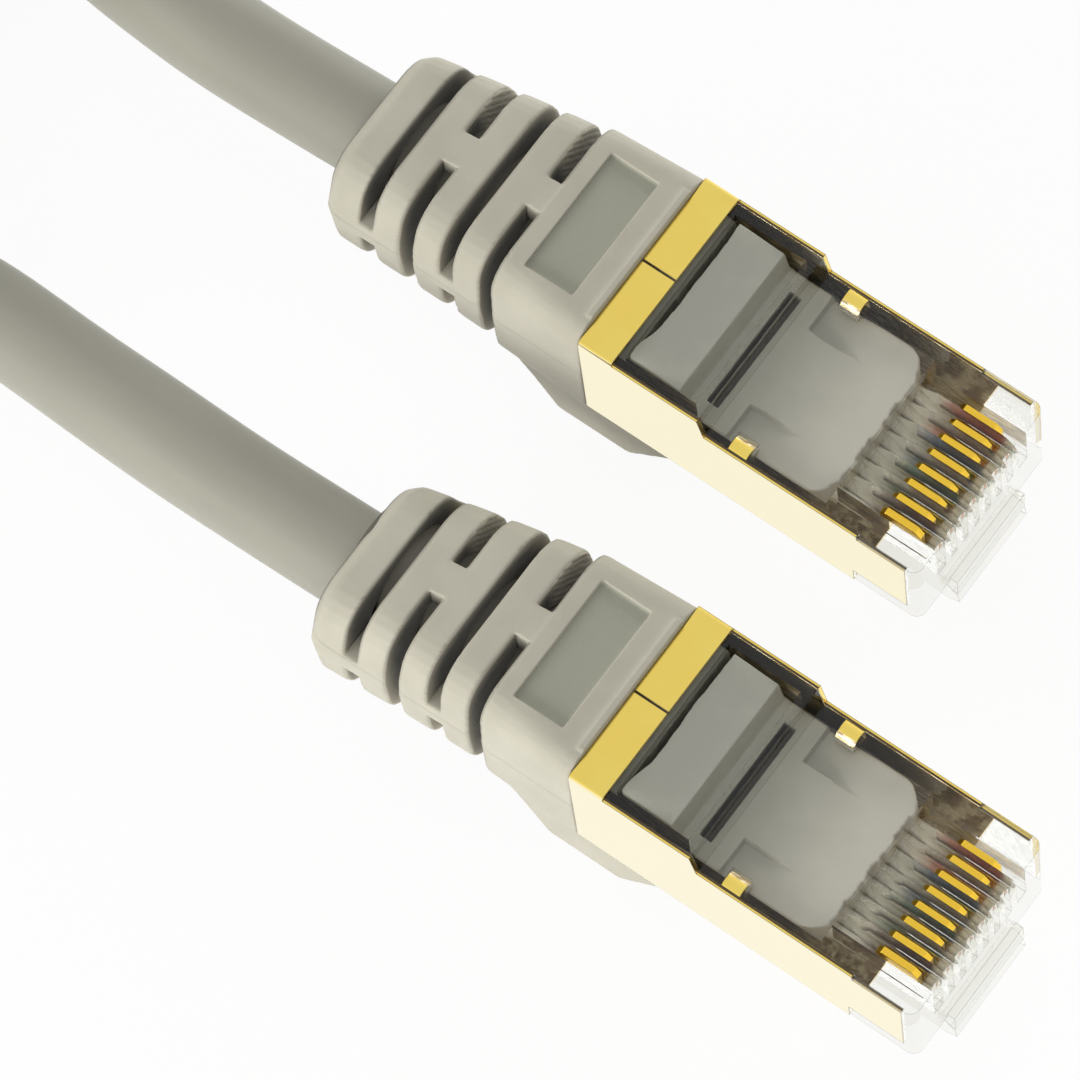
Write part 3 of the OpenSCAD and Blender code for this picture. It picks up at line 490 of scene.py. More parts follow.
def mouldedPvc(side, b):
    # Soft PVC, moulded: a matt spark-eroded skin, a fine parting line on each flank, slow changes of tone
    material, tree, skin = startMaterial("greyPvcMoulded_" + side)
    at, (x, y, z) = plugCoordinates(tree, side)
    face = addNode(tree, "NewGeometry", out="Normal")
    facingX = addNode(tree, "SeparateXYZ", {0: face})
    clouds = addNode(tree, "TexNoise", {0: at, "Scale": 0.33, "Detail": 3.0})
    share = addNode(tree, "MapRange", {0: clouds, 1: 0.3, 2: 0.7}, **smooth)
    tone = addNode(tree, "Mix", {0: share, 6: b["tone"], 7: b["tonePale"]}, 2, **rgba)
    away = addNode(tree, "Math", {0: z, 1: b["partingAt"]}, operation="SUBTRACT")
    away = addNode(tree, "Math", {0: away}, operation="ABSOLUTE")
    line = addNode(tree, "MapRange", {0: away, 1: 0.02, 2: 0.11, 3: 1.0, 4: 0.0}, **smooth)
    share = addNode(tree, "Math", {0: line, 1: 0.35}, operation="MULTIPLY")
    tone = addNode(tree, "Mix", {0: share, 6: tone, 7: b["partingTone"]}, 2, **rgba)
    # Painted light and shade: the ribs' flanks are painted lighter, and down in the slots the skin is
    # painted dark
    flank = addNode(tree, "Math", {0: facingX}, operation="ABSOLUTE")
    flank = addNode(tree, "MapRange", {0: flank, 1: 0.5, 2: 0.9}, **smooth)
    amongRibs = addNode(tree, "Math", {0: x, 1: b["ribFrom"]}, operation="LESS_THAN")
    flank = addNode(tree, "Math", {0: flank, 1: amongRibs}, operation="MULTIPLY")
    deep = addNode(tree, "Attribute", out="Fac", attribute_name="paintedShadeDepth")
    # The sunk panel's floor is darker, cooler and smoother
    low, high = b["panelX"]
    inPanel = addNode(tree, "Math", {0: x, 1: (low + high) / 2, 2: (high - low) / 2}, operation="COMPARE")
    inWidth = addNode(tree, "Math", {0: y, 1: 0.0, 2: b["panelHalf"]}, operation="COMPARE")
    inDepth = addNode(tree, "Math", {0: z, 1: b["panelFloor"], 2: 0.12}, operation="COMPARE")
    for share in (inWidth, inDepth):
        inPanel = addNode(tree, "Math", {0: inPanel, 1: share}, operation="MULTIPLY")
    rough = addNode(tree, "Math", {0: inPanel, 1: -0.1, 2: 0.58}, operation="MULTIPLY_ADD")
    # Slanting drag marks on the slot walls that face the plug, near their open ends on the +Y side, over a
    # lighter tan there: painted light coming in at those ends
    marked = addNode(tree, "Math", {0: facingX, 1: 0.6}, operation="GREATER_THAN")
    outer = addNode(tree, "MapRange", {0: y, 1: 1.6, 2: 2.6}, **smooth)
    first, second = (
        addNode(tree, "Math", {0: x, 1: slotX, 2: 0.7}, operation="COMPARE") for slotX in b["shortSlots"]
    )
    inSlot = addNode(tree, "Math", {0: first, 1: second}, operation="MAXIMUM")
    for share in (outer, inSlot):
        marked = addNode(tree, "Math", {0: marked, 1: share}, operation="MULTIPLY")
    slant = addNode(tree, "Math", {0: y, 1: 1.3, 2: z}, operation="MULTIPLY_ADD")
    wander = addNode(tree, "TexNoise", {0: at, "Scale": 1.4, "Detail": 2.0})
    slant = addNode(tree, "Math", {0: wander, 1: 0.5, 2: slant}, operation="MULTIPLY_ADD")
    slant = addNode(tree, "Math", {0: slant, 1: 2 * math.pi / b["dragPitch"]}, operation="MULTIPLY")
    drag = addNode(tree, "Math", {0: slant}, operation="SINE")
    drag = addNode(tree, "Math", {0: drag, 1: marked}, operation="MULTIPLY")
    lit = addNode(tree, "Math", {0: marked, 1: b["slotEndLightShare"]}, operation="MULTIPLY")
    stroke = addNode(tree, "Math", {0: drag, 1: b["strokeShare"]}, operation="MULTIPLY", use_clamp=True)
    layers = {
        "paintedFlankLight": flank, "paintedSlotShade": deep, "panelTone": inPanel, "paintedSlotEndLight": lit, "strokeTone": stroke,
    }
    for key, share in layers.items():
        tone = addNode(tree, "Mix", {0: share, 6: tone, 7: b[key]}, 2, **rgba)
    grit = addNode(tree, "TexNoise", {0: at, "Scale": 11.0, "Detail": 2.0, "Roughness": 0.6})
    grit = addNode(tree, "Math", {0: drag, 1: -2.0, 2: grit}, operation="MULTIPLY_ADD")
    dents = addNode(tree, "TexNoise", {0: at, "Scale": 1.1, "Detail": 2.0})
    height = addNode(tree, "Math", {0: grit, 1: 0.5, 2: line}, operation="MULTIPLY_ADD")
    height = addNode(tree, "Math", {0: dents, 1: 1.6, 2: height}, operation="MULTIPLY_ADD")
    normal = addNode(tree, "Bump", {"Height": height, "Distance": 0.016 * mm})
    setInputs(tree, skin, {
        "Base Color": tone, "Normal": normal, "Roughness": rough, "IOR": 1.53,
        "Sheen Weight": 0.25, "Sheen Roughness": 0.35, "Sheen Tint": "#FFFDF4",
        "Subsurface Weight": 0.1, "Subsurface Scale": 0.4 * mm, "Subsurface Radius": (1.0, 0.8, 0.6),
    })
    return material


for side in plugAt:
    skin = makeBoot(side, boot)
    skin.data.materials.append(mouldedPvc(side, boot))
    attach(skin, "cable")
    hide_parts("boot_" + side)
print("boots made")

# The filling: the moulded insert that shows through the housing
filling = {
    "half": 4.94, "front": 15.37, "corner": 1.6, "low": 0.93, "edge": 0.14,
    "frontWander": 0.14, "frontWave": 2.6,
    "padHalf": 4.9, "padRear": 2.9, "padFront": 5.85, "padTop": 7.8, "padRun": 0.14, "padFall": 0.25,
    "padWander": 0.07, "padWave": 9.0, "padBow": 0.4, "wall": 0.12,
    "shelf": 7.27, "shelfEnd": 2.62, "shelfFoot": 5.9, "roofLow": 5.57, "ledgeEnd": 6.9, "ledgeRise": 0.3,
    "slotX": 7.2, "slotWide": 0.3, "slotHalf": 3.82, "slotDeep": 1.4,
    "stepX": 8.8, "stepEnd": 12.4, "stepY": 2.55, "stepDeep": 0.42,
    "tunnelX": 11.97, "tunnelHalf": 4.11, "tunnelTop": 4.01,
    # Tones, with painted shade for the cross slot
    "tone": "#949489", "tonePale": "#BCB9AF", "paintedCrossSlotShade": "#33291F",
}


def softNoise(x, seed, size):
    # A smooth random line: sums of a few sines with fixed random phases
    rng = np.random.default_rng(seed)
    total = np.zeros_like(x)
    for k, a in ((1.0, 1.0), (2.3, 0.6), (4.1, 0.35), (7.7, 0.2)):
        total = total + a * np.sin(2 * math.pi * k * x / size + rng.uniform(0, 2 * math.pi))
    return total / 2.15  # the sum of the four heights


def fillingTop(x, y, f, seed):
    # Height of the filling over its plan: shelf, pad with a ragged rear edge, ledge, slot and long flat top
    wall, run = f["wall"], f["padRun"]
    rear = f["padRear"] + f["padWander"] * softNoise(y, seed, f["padWave"])
    rear = rear - f["padBow"] * smoothStep((-y - 2.4) / 1.8) + 0.12 * smoothStep((-y - 4.55) / 0.35)
    pad = smoothStep((x - rear + run / 2) / run) * smoothStep((f["padFront"] + 0.3 - x) / 0.36)
    pad = pad * smoothStep((f["padHalf"] - np.abs(y)) / wall)
    crown = f["padTop"] - f["padFall"] * smoothStep((x - f["padRear"]) / 3.2)
    shelf = f["shelf"] * smoothStep((f["shelfEnd"] - x) / wall)
    ledge = f["roofLow"] + f["ledgeRise"] * smoothStep((f["ledgeEnd"] - x) / 0.9)
    base = np.where(x < f["shelfEnd"], np.maximum(shelf, f["shelfFoot"]), ledge)
    height = base + (crown - base) * pad
    inSlot = smoothStep((f["slotWide"] / 2 + 0.05 - np.abs(x - f["slotX"])) / 0.1)
    inSlot = inSlot * smoothStep((f["slotHalf"] - np.abs(y)) / wall)
    height = height - f["slotDeep"] * inSlot
    fade = 1 - smoothStep((x - f["stepX"] - 0.3) / (f["stepEnd"] - f["stepX"]))
    wander = 0.06 * softNoise(x, seed + 2, 3.0)
    sunk = smoothStep((np.abs(y) - f["stepY"] + wander) / 0.14) * smoothStep((x - f["stepX"]) / wall)
    return height - f["stepDeep"] * fade * sunk


def makeFilling(side, f, seed):
    # Two sheets over the same plan, the upper one carved and the lower one flat, closed round their rim
    half, front = f["half"], f["front"]
    # Lines stand closer at the rim, at the pad's rear edge and from the pad's front to the step
    rim = np.array([0.09, 0.05, 0.02, 0])
    v = np.concatenate([rim[::-1], np.arange(0.14, 2 * half - 0.13, 0.055), 2 * half - rim]) - half
    u = np.concatenate([
        np.arange(0, 2.4, 0.15), np.arange(2.4, 3.5, 0.04), np.arange(3.5, 5.8, 0.1),
        np.arange(5.8, 9.2, 0.04), np.arange(9.2, 15.1, 0.075), front - np.array([0.2, 0.14, *rim]),
    ]) / front
    inner = half - f["corner"]
    overrun = np.clip(np.abs(v) - inner, 0, f["corner"])
    reach = front - f["corner"] + np.sqrt(f["corner"] ** 2 - overrun ** 2)
    reach = reach - f["frontWander"] * (1 + softNoise(v, seed + 4, f["frontWave"]))
    x = u[:, None] * reach[None, :]
    y = np.broadcast_to(v, x.shape)
    toEdge = np.minimum(np.minimum(half - np.abs(y), reach[None, :] - x), 1.0)
    fall = 1 - np.sqrt(np.clip(1 - (1 - np.clip(toEdge / f["edge"], 0, 1)) ** 2, 0, 1))
    top = fillingTop(x, y, f, seed) - f["edge"] * fall
    # The tunnel that the conductors come through is a little larger than they are
    tunnel = smoothStep((x - f["tunnelX"] + 0.4) / 0.3)
    tunnel = tunnel * smoothStep((f["tunnelHalf"] + 0.2 - np.abs(y)) / f["wall"])
    low = f["low"] + (f["tunnelTop"] + 0.02 - f["low"]) * tunnel
    rows, columns = x.shape
    at = plugAt[side]
    upper = np.stack([x, y, top], axis=-1).reshape(-1, 3) + at
    lower = np.stack([x, y, low], axis=-1).reshape(-1, 3) + at
    n = rows * columns
    faces = gridFaces(rows, columns)[:, ::-1]
    index = np.arange(n).reshape(rows, columns)
    rim = np.concatenate([index[0, :-1], index[:-1, -1], index[-1, :0:-1], index[:0:-1, 0]])
    nextRim = np.roll(rim, -1)
    wall = np.stack([nextRim, rim, rim + n, nextRim + n], axis=-1)
    allFaces = np.concatenate([faces, faces[:, ::-1] + n, wall])
    return makeMesh("filling_" + side, np.concatenate([upper, lower]), allFaces.tolist(), 50)


def mouldedFilling(side, f):
    # Moulded polyethylene: satin grey, paler towards the comb
    material, tree, skin = startMaterial("greyPolyethyleneMoulded_" + side)
    at, (x, y, z) = plugCoordinates(tree, side)
    clouds = addNode(tree, "TexNoise", {0: at, "Scale": 0.45, "Detail": 3.0})
    front = addNode(tree, "MapRange", {0: x, 1: 7.0, 2: 15.0}, **smooth)
    wander = addNode(tree, "Math", {0: clouds, 1: 0.5, 2: front}, operation="MULTIPLY_ADD")
    share = addNode(tree, "Math", {0: wander, 1: 0.25}, operation="SUBTRACT", use_clamp=True)
    tone = addNode(tree, "Mix", {0: share, 6: f["tone"], 7: f["tonePale"]}, 2, **rgba)
    # Painted shade: down in the cross slot it is nearly black
    inSlot = addNode(tree, "Math", {0: x, 1: f["slotX"], 2: 0.3}, operation="COMPARE")
    below = addNode(tree, "MapRange", {0: z, 1: 5.5, 2: 5.2}, **smooth)
    share = addNode(tree, "Math", {0: inSlot, 1: below}, operation="MULTIPLY")
    tone = addNode(tree, "Mix", {0: share, 6: tone, 7: f["paintedCrossSlotShade"]}, 2, **rgba)
    grain = addNode(tree, "TexNoise", {0: at, "Scale": 6.0, "Detail": 2.0})
    height = addNode(tree, "Math", {0: clouds, 1: 2.0, 2: grain}, operation="MULTIPLY_ADD")
    normal = addNode(tree, "Bump", {"Height": height, "Distance": 0.01 * mm})
    setInputs(tree, skin, {"Base Color": tone, "Normal": normal, "Roughness": 0.45, "IOR": 1.51})
    return material


for number, side in enumerate(plugAt):
    piece = makeFilling(side, filling, 11 + 5 * number)
    piece.data.materials.append(mouldedFilling(side, filling))
    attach(piece, "cable")
    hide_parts("overmould_" + side)
print("fillings made")

# The finishes of the CAD nodes
finish = {
    # Gold tones, with a painted reflection on the flanks and painted shade along the edges
    "sheetGold": "#FFE266", "sheetPale": "#FFDF60", "paintedFlankReflection": "#FFF2BD", "paintedEdgeShade": "#4E3A14",
    # Inside tones, painted pale for the shade the inside lies in
    "insideGold": "#FFEFC6", "insideDark": "#A08350", "insideMetal": 0.2, "insideRough": 0.22,
    "sheetEdge": 0.1, "cutTopY": 5.65, "cutTopHalf": 0.08, "cutTopFrom": 2.2,
    # Clear tints, with painted grey lines along the round edges
    "clearTint": "#F8F8F5", "paintedEdgeGrey": "#7F7C71", "combPaintedEdgeGrey": "#D2D0C8", "edgeRadius": 0.08,
    "clearRough": 0.02, "clearIor": 1.045, "clearCoat": 0.7, "clearCoatIor": 1.585,
    "strayTint": "#FAFAF8", "shadeTint": "#FBFBF8",
    "combX": 18.7, "combReach": 3.3, "combHalf": 4.2, "combFloor": 3.9,
    "braidGap": "#6E6F72", "braid": "#D6D7DA", "contactEdge": 0.035,
}
# Materials with fine lines along the piece, by name
lined = {
    # Gold over nickel, stamped: a deeper yellow than the sheet, with fine shear lines down the blade
    "goldStamped": {
        "scale": (1, 20, 20), "noise": {"Detail": 2.0}, "tones": ("#FFDA55", "#FFCB3C"),
        "relief": 0.002, "surface": {"Metallic": 1.0, "Roughness": 0.12},
    },
    # Copper, drawn: bright, warm and finely lined along the wire
    "copperDrawn": {
        "scale": (0.8, 25, 25), "noise": {"Detail": 2.0}, "tones": ("#E59A70", "#F2B48C"),
        "relief": 0.002, "surface": {"Metallic": 1.0, "Roughness": 0.22},
    },
    # PVC, extruded: the cable's own skin, painted darker as shade where the jacket runs on inside the boot
    "greyPvcJacketShaded": {
        "scale": (0.07, 2, 2), "noise": {"Detail": 3.0, "Roughness": 0.6}, "tones": ("#57544A", "#615E53"),
        "relief": 0.012, "surface": {"Roughness": 0.5, "IOR": 1.53},
    },
}


def clearPolycarbonate(side):
    # Polycarbonate, moulded: glass clear and glossy, with a trace of grey, and lamps reach what it covers
    material, tree, clear = startMaterial("polycarbonateMoulded_" + side)
    at, (x, y, z) = plugCoordinates(tree, side)
    waves = addNode(tree, "TexNoise", {0: at, "Scale": 0.8, "Detail": 2.0})
    normal = addNode(tree, "Bump", {"Height": waves, "Distance": 0.003 * mm})
    # Painted shade: round moulded edges bend the light away, and the thin grey lines they show are painted
    # into the tint
    face = addNode(tree, "NewGeometry", out="Normal")
    rounded = addNode(tree, "Bevel", {"Radius": finish["edgeRadius"] * mm}, samples=6)
    same = addNode(tree, "VectorMath", {0: face, 1: rounded}, 1, operation="DOT_PRODUCT")
    share = addNode(tree, "MapRange", {0: same, 1: 0.995, 2: 0.85}, **smooth)
    # The painted grey lines stay paler on the thin comb fins, or their close edges would add up to a dark
    # mass
    comb = addNode(tree, "Math", {0: x, 1: finish["combX"], 2: finish["combReach"]}, operation="COMPARE")
    middle = addNode(tree, "Math", {0: y, 1: 0.0, 2: finish["combHalf"]}, operation="COMPARE")
    above = addNode(tree, "Math", {0: z, 1: finish["combFloor"]}, operation="GREATER_THAN")
    for part in (middle, above):
        comb = addNode(tree, "Math", {0: comb, 1: part}, operation="MULTIPLY")
    line = addNode(tree, "Mix", {0: comb, 6: finish["paintedEdgeGrey"], 7: finish["combPaintedEdgeGrey"]}, 2, **rgba)
    tint = addNode(tree, "Mix", {0: share, 6: finish["clearTint"], 7: line}, 2, **rgba)
    setInputs(tree, clear, {
        "Base Color": tint, "Roughness": finish["clearRough"], "IOR": finish["clearIor"],
        "Transmission Weight": 1.0, "Normal": normal,
        "Coat Weight": finish["clearCoat"], "Coat Roughness": 0.02, "Coat IOR": finish["clearCoatIor"],
    })
    # After two turns a ray goes straight through, or the walls would fill with dark images
    turns = addNode(tree, "LightPath", out="Ray Depth")
    lost = addNode(tree, "Math", {0: turns, 1: 1.5}, operation="GREATER_THAN")
    straight = addNode(tree, "BsdfTransparent", {"Color": finish["strayTint"]})
    plain = addNode(tree, "MixShader", {0: lost, 1: clear.outputs[0], 2: straight})
    shade = addNode(tree, "LightPath", out="Is Shadow Ray")
    through = addNode(tree, "BsdfTransparent", {"Color": finish["shadeTint"]})
    both = addNode(tree, "MixShader", {0: shade, 1: plain, 2: through})
    setInputs(tree, tree.nodes["Material Output"], {"Surface": both})
    return material


def goldFlashSheet(side):
    # Thin gold flash on rolled brass: mirror bright outside with fine rolling lines, duller inside
    material, tree, sheet = startMaterial("goldFlashRolled_" + side)
    at, (x, y, z) = plugCoordinates(tree, side)
    face = addNode(tree, "NewGeometry", out="Normal")
    facingY, facingZ = (addNode(tree, "SeparateXYZ", {0: face}, part) for part in (1, 2))
    # Inside: walls that face the middle, and the floor of the sheet
    inward = addNode(tree, "Math", {0: y}, operation="SIGN")
    inward = addNode(tree, "Math", {0: facingY, 1: inward}, operation="MULTIPLY")
    wall = addNode(tree, "Math", {0: inward, 1: -0.5}, operation="LESS_THAN")
    low = addNode(tree, "Math", {0: z, 1: 0.1}, operation="LESS_THAN")
    floorSide = addNode(tree, "Math", {0: facingZ, 1: 0.5}, operation="GREATER_THAN")
    floorSide = addNode(tree, "Math", {0: floorSide, 1: low}, operation="MULTIPLY")
    inside = addNode(tree, "Math", {0: wall, 1: floorSide}, operation="MAXIMUM")
    drawn = addNode(tree, "Mapping", {0: at, "Scale": (0.3, 12, 12)})
    lines = addNode(tree, "TexNoise", {0: drawn, "Scale": 1.0, "Detail": 2.0})
    clouds = addNode(tree, "TexNoise", {0: at, "Scale": 0.4, "Detail": 2.0})
    share = addNode(tree, "MapRange", {0: clouds, 1: 0.35, 2: 0.65}, **smooth)
    tone = addNode(tree, "Mix", {0: share, 6: finish["sheetGold"], 7: finish["sheetPale"]}, 2, **rgba)
    # Painted light: the inside lies in shade, so it is painted pale, in patches of painted highlight
    insidePatchLay = addNode(tree, "Mapping", {0: at, "Rotation": (0, 0.6, 0), "Scale": (0.8, 1, 3.0)})
    insideLightPatches = addNode(tree, "TexNoise", {0: insidePatchLay, "Scale": 1.3, "Detail": 4.0, "Roughness": 0.65})
    share = addNode(tree, "MapRange", {0: insideLightPatches, 1: 0.42, 2: 0.62}, **smooth)
    insidePaintedLight = addNode(tree, "Mix", {0: share, 6: finish["insideDark"], 7: finish["insideGold"]}, 2, **rgba)
    # Painted reflection: walls that face sideways are painted pale cream, for the bright floor they mirror
    flank = addNode(tree, "Math", {0: facingY}, operation="ABSOLUTE")
    flank = addNode(tree, "MapRange", {0: flank, 1: 0.6, 2: 0.9}, **smooth)
    tone = addNode(tree, "Mix", {0: flank, 6: tone, 7: finish["paintedFlankReflection"]}, 2, **rgba)
    tone = addNode(tree, "Mix", {0: inside, 6: tone, 7: insidePaintedLight}, 2, **rgba)
    rough = addNode(tree, "MapRange", {0: clouds, 3: 0.08, 4: 0.16})
    rough = addNode(tree, "Math", {0: inside, 1: finish["insideRough"], 2: rough}, operation="MULTIPLY_ADD")
    metal = addNode(
        tree, "Math", {0: inside, 1: finish["insideMetal"] - 1, 2: 1.0}, operation="MULTIPLY_ADD"
    )
    # Painted reflection: the sheet's edges are painted as dark lines on its outside, for the dark that they
    # mirror
    wide = addNode(tree, "Bevel", {"Radius": finish["sheetEdge"] * mm}, samples=8)
    same = addNode(tree, "VectorMath", {0: face, 1: wide}, 1, operation="DOT_PRODUCT")
    edge = addNode(tree, "MapRange", {0: same, 1: 0.99, 2: 0.8}, **smooth)
    outside = addNode(tree, "Math", {0: 1.0, 1: inside}, operation="SUBTRACT")
    edge = addNode(tree, "Math", {0: edge, 1: outside}, operation="MULTIPLY")
    # Painted shade: the cut top of the sheet beside the window is painted dark, for the dark gap along it
    cut = addNode(tree, "Math", {0: facingZ, 1: 0.7}, operation="GREATER_THAN")
    aside = addNode(tree, "Math", {0: y}, operation="ABSOLUTE")
    near = addNode(
        tree, "Math", {0: aside, 1: finish["cutTopY"], 2: finish["cutTopHalf"]}, operation="COMPARE"
    )
    ahead = addNode(tree, "Math", {0: x, 1: finish["cutTopFrom"]}, operation="GREATER_THAN")
    for part in (near, ahead):
        cut = addNode(tree, "Math", {0: cut, 1: part}, operation="MULTIPLY")
    edge = addNode(tree, "Math", {0: edge, 1: cut}, operation="MAXIMUM")
    rounded = addNode(tree, "Bevel", {"Radius": 0.05 * mm}, samples=4)
    tone = addNode(tree, "Mix", {0: edge, 6: tone, 7: finish["paintedEdgeShade"]}, 2, **rgba)
    normal = addNode(tree, "Bump", {"Height": lines, "Distance": 0.0012 * mm, "Normal": rounded})
    setInputs(tree, sheet, {
        "Base Color": tone, "Roughness": rough, "Normal": normal, "Metallic": metal,
        "Coat Weight": 1.0, "Coat Roughness": 0.05, "Coat IOR": 1.6,
    })
    return material


def linedFinish(name, side=None):
    # The lines show in the tone and in the relief; a material that both plugs share has no side
    c = lined[name]
    material, tree, skin = startMaterial(name + "_" + side if side else name)
    drawn = addNode(tree, "Mapping", {0: plugCoordinates(tree, side)[0], "Scale": c["scale"]})
    lines = addNode(tree, "TexNoise", {0: drawn, "Scale": 1.0, **c["noise"]})
    tone = addNode(tree, "Mix", {0: lines, 6: c["tones"][0], 7: c["tones"][1]}, 2, **rgba)
    normal = addNode(tree, "Bump", {"Height": lines, "Distance": c["relief"] * mm})
    setInputs(tree, skin, {"Base Color": tone, "Normal": normal, **c["surface"]})
    return material


# The conductors: each pair with its colour and the comb slot, from 0 to 7, of its striped core
# The cores' colours are set dark and the white core's grey, as painted shade for the inside of the housing
wires = {
    "pairs": {
        "orange": ("#A34A22", 7), "green": ("#2A5436", 5), "blue": ("#2E4A69", 3), "brown": ("#553822", 1),
    },
    "pitch": 1.02, "middleZ": 3.5, "twist": 0.9, "shadedWhiteTone": "#A29E92",
    "hazeX": (16.6, 18.4), "hazeShare": 0.9, "hazeTone": "#EFEDE6",
    "cutX": (20.4, 20.8), "cutTone": "#D6D3C8",
}


def insulation(side, name, w):
    # Polyethylene, extruded: one core plain, its mate white with a long stripe of the same colour
    colour, stripedSlot = w["pairs"][name]
    material, tree, skin = startMaterial("polyethyleneExtruded_" + name + "_" + side)
    at, (x, y, z) = plugCoordinates(tree, side)
    aside = addNode(tree, "Math", {0: y, 1: (stripedSlot - 3.5) * w["pitch"]}, operation="SUBTRACT")
    away = addNode(tree, "Math", {0: aside}, operation="ABSOLUTE")
    striped = addNode(tree, "Math", {0: away, 1: w["pitch"] / 2}, operation="LESS_THAN")
    above = addNode(tree, "Math", {0: z, 1: w["middleZ"]}, operation="SUBTRACT")
    turn = addNode(tree, "Math", {0: above, 1: aside}, operation="ARCTAN2")
    twist = addNode(tree, "Math", {0: x, 1: w["twist"], 2: turn}, operation="MULTIPLY_ADD")
    wave = addNode(tree, "Math", {0: twist}, operation="SINE")
    band = addNode(tree, "MapRange", {0: wave, 1: 0.35, 2: 0.5}, **smooth)
    # The white core is painted grey as shade
    pale = addNode(tree, "Mix", {0: band, 6: w["shadedWhiteTone"], 7: colour}, 2, **rgba)
    speck = addNode(tree, "TexNoise", {0: at, "Scale": 2.5, "Detail": 2.0})
    share = addNode(tree, "Math", {0: speck, 1: 0.2}, operation="MULTIPLY")
    plain = addNode(tree, "Mix", {0: share, 6: colour, 7: "#FFFFFF"}, 2, **rgba)
    tone = addNode(tree, "Mix", {0: striped, 6: plain, 7: pale}, 2, **rgba)
    # The rear of the cores turns pale out to a ragged end
    reach = addNode(tree, "Math", {0: speck, 1: 1.2, 2: x}, operation="MULTIPLY_ADD")
    (start, end), share = w["hazeX"], w["hazeShare"]
    haze = addNode(tree, "MapRange", {0: reach, 1: start, 2: end, 3: share, 4: 0.0}, **smooth)
    tone = addNode(tree, "Mix", {0: haze, 6: tone, 7: w["hazeTone"]}, 2, **rgba)
    # The cut ends are pale
    start, end = w["cutX"]
    cut = addNode(tree, "MapRange", {0: x, 1: start, 2: end}, **smooth)
    tone = addNode(tree, "Mix", {0: cut, 6: tone, 7: w["cutTone"]}, 2, **rgba)
    normal = addNode(tree, "Bump", {"Height": speck, "Distance": 0.01 * mm})
    setInputs(tree, skin, {"Base Color": tone, "Normal": normal, "Roughness": 0.35, "IOR": 1.51})
    return material


def tinnedBraid(side):
    # Tinned copper, braided: bundles of strands 0.3 mm wide that cross both ways round
    material, tree, braid = startMaterial("tinnedCopperBraided_" + side)
    x, y, z = plugCoordinates(tree, side)[1]
    above = addNode(tree, "Math", {0: z, 1: lean["axisZ"]}, operation="SUBTRACT")
    turn = addNode(tree, "Math", {0: above, 1: y}, operation="ARCTAN2")
    waves = []
    for sign in (2.9, -2.9):
        arc = addNode(tree, "Math", {0: turn, 1: sign, 2: x}, operation="MULTIPLY_ADD")
        arc = addNode(tree, "Math", {0: arc, 1: 2 * math.pi / 0.6}, operation="MULTIPLY")
        waves.append(addNode(tree, "Math", {0: arc}, operation="SINE"))
    height = addNode(tree, "Math", {0: waves[0], 1: waves[1]}, operation="MAXIMUM")
    share = addNode(tree, "MapRange", {0: height, 1: -0.2, 2: 0.9}, **smooth)
    tone = addNode(tree, "Mix", {0: share, 6: finish["braidGap"], 7: finish["braid"]}, 2, **rgba)
    normal = addNode(tree, "Bump", {"Height": height, "Distance": 0.05 * mm})
    setInputs(tree, braid, {"Base Color": tone, "Normal": normal, "Metallic": 1.0, "Roughness": 0.3})
    return material


def dress(node, material):
    # Gives a CAD node its one material
    mesh = nodes[node].data
    mesh.materials.clear()
    mesh.materials.append(material)


def soften(node, width):
    # Merges the solid's loose triangles on the fly and rounds its edges by a hair
    weld = nodes[node].modifiers.new("weld", "WELD")
    weld.merge_threshold = mergeGap
    edge = nodes[node].modifiers.new("edge", "BEVEL")
    edge.width, edge.segments = width * mm, 2
    edge.limit_method, edge.angle_limit = "ANGLE", math.radians(30)
    edge.miter_outer = "MITER_ARC"


copper = linedFinish("copperDrawn")
for side in plugAt:
    clear = clearPolycarbonate(side)
    dress("housing_" + side, clear)
    dress("latch_" + side, clear)
    dress("shell_" + side, goldFlashSheet(side))
    dress("contacts_" + side, linedFinish("goldStamped", side))
    dress("copper_" + side, copper)
    dress("braid_" + side, tinnedBraid(side))
    dress("jacket_end_" + side, linedFinish("greyPvcJacketShaded", side))
    for name in wires["pairs"]:
        dress("pair_" + name + "_" + side, insulation(side, name, wires))
    soften("contacts_" + side, finish["contactEdge"])
print("finishes set")

# Floor, light and air
studio = {
    "floorHalf": 900.0, "floorZ": -0.02, "floorColour": "#F4F4F2", "floorShown": 0.92,
    "zenith": 0.76, "horizon": 1.0, "zenithLight": 0.8, "horizonLight": 0.42, "frontShare": 0.5,
    "key": {"size": (0.7, 0.25), "from": (-0.16, -0.62, 0.16), "power": 5.4},
    "rim": {"size": (0.7, 0.25), "from": (-0.16, 0.62, 0.16), "power": 3.6},
}
rayKinds = ("Camera", "Glossy", "Transmission")


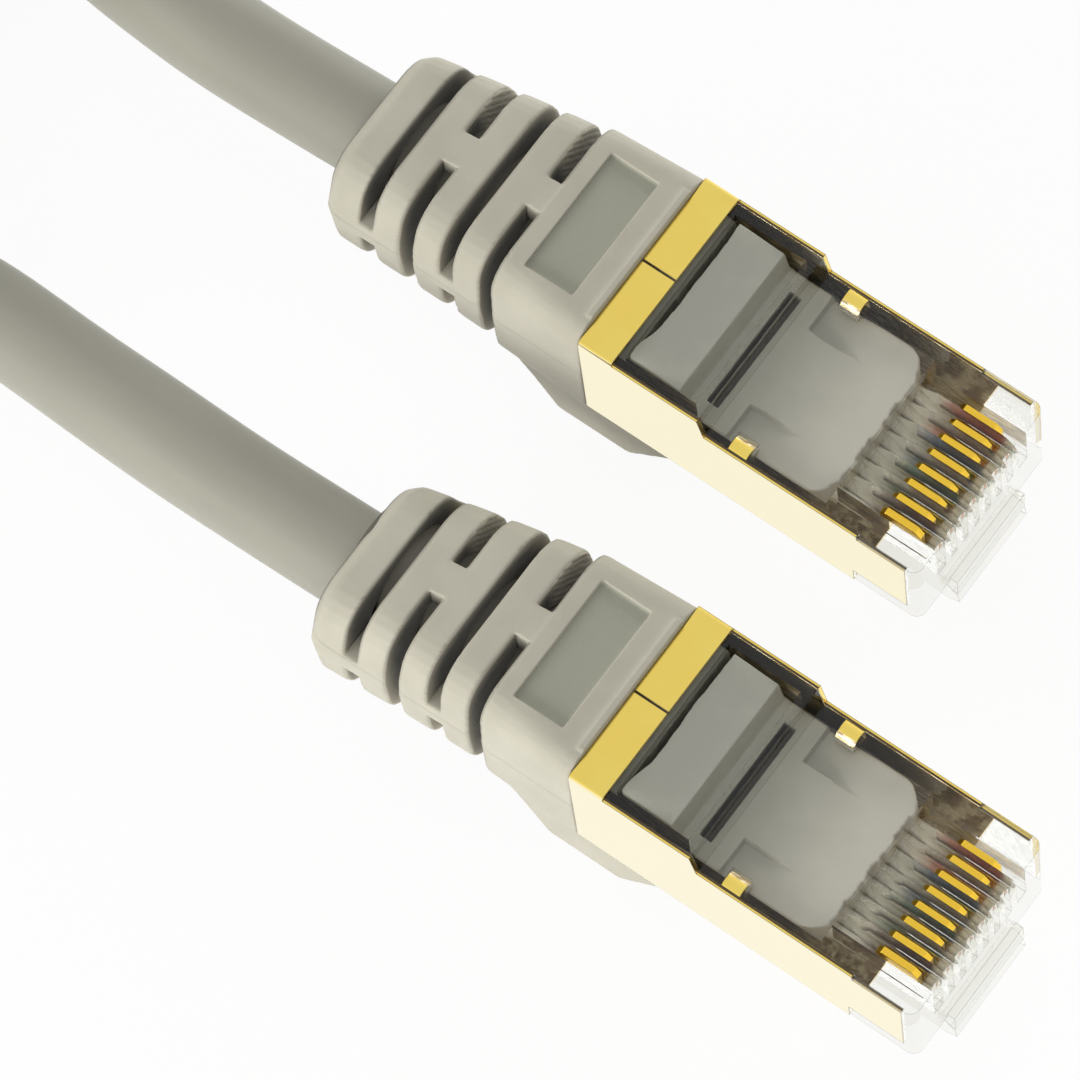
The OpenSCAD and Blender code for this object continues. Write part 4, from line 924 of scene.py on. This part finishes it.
def makeFloor(s):
    # A pale sheet that is white to the eye and to what mirrors it, and still takes the object's soft shadow
    h, z = s["floorHalf"], s["floorZ"]
    floor = makeMesh("floor", [[-h, -h, z], [h, -h, z], [h, h, z], [-h, h, z]], [[0, 1, 2, 3]])
    material, tree, paper = startMaterial("paperSheet")
    setInputs(tree, paper, {"Base Color": s["floorColour"], "Roughness": 0.9, "Specular IOR Level": 0.1})
    seen = [addNode(tree, "LightPath", out=f"Is {kind} Ray") for kind in rayKinds]
    share = seen[0]
    for ray in seen[1:]:
        share = addNode(tree, "Math", {0: share, 1: ray}, operation="MAXIMUM")
    share = addNode(tree, "Math", {0: share, 1: s["floorShown"]}, operation="MULTIPLY")
    white = addNode(tree, "Emission", {"Color": "#FFFFFF", "Strength": 1.0})
    both = addNode(tree, "MixShader", {0: share, 1: paper.outputs[0], 2: white})
    setInputs(tree, tree.nodes["Material Output"], {"Surface": both})
    floor.data.materials.append(material)


def makeAir(s):
    # The room: white to the camera, bright to what mirrors or passes it, and softer as light on the object
    world = bpy.data.worlds.new("studioAir")
    world.use_nodes = True
    tree = world.node_tree
    sky = addNode(tree, "TexCoord", out="Generated")
    ahead, up = (addNode(tree, "SeparateXYZ", {0: sky}, part) for part in (0, 2))
    shown = addNode(tree, "MapRange", {0: up, 1: 0.0, 2: 0.9, 3: s["horizon"], 4: s["zenith"]})
    light = addNode(tree, "MapRange", {0: up, 1: 0.0, 2: 0.9, 3: s["horizonLight"], 4: s["zenithLight"]})
    ahead = addNode(tree, "MapRange", {0: ahead, 1: 0.0, 2: 0.8, 3: 1.0, 4: s["frontShare"]})
    light = addNode(tree, "Math", {0: light, 1: ahead}, operation="MULTIPLY")
    seen = [addNode(tree, "LightPath", out=f"Is {kind} Ray") for kind in rayKinds]
    bright = addNode(tree, "Math", {0: seen[1], 1: seen[2]}, operation="MAXIMUM")
    level = addNode(tree, "Mix", {0: bright, 2: light, 3: shown}, data_type="FLOAT")
    level = addNode(tree, "Mix", {0: seen[0], 2: level, 3: 1.0}, data_type="FLOAT")
    setInputs(tree, tree.nodes["Background"], {"Color": "#FFFFFF", "Strength": level})
    scene.world = world


def makeLamp(name, lamp):
    # A soft oblong lamp that faces the middle of the plugs
    data = bpy.data.lights.new(name, "AREA")
    data.shape, data.size, data.size_y = "RECTANGLE", *lamp["size"]
    data.energy = lamp["power"]
    box = bpy.data.objects.new(name, data)
    box.visible_glossy = False  # or the flanks would mirror it as plain white
    place = np.array(lamp["from"])
    back = place / np.linalg.norm(place)
    right = np.cross([0, 0, 1], back)
    right /= np.linalg.norm(right)
    stand(box, right, np.cross(back, right), back, place)


makeFloor(studio)
makeAir(studio)
makeLamp("keyLamp", studio["key"])
makeLamp("rimLamp", studio["rim"])
scene.cycles.max_bounces = 24
scene.cycles.glossy_bounces = 20
scene.cycles.transmission_bounces = 24
scene.cycles.transparent_max_bounces = 24
print("studio lit")
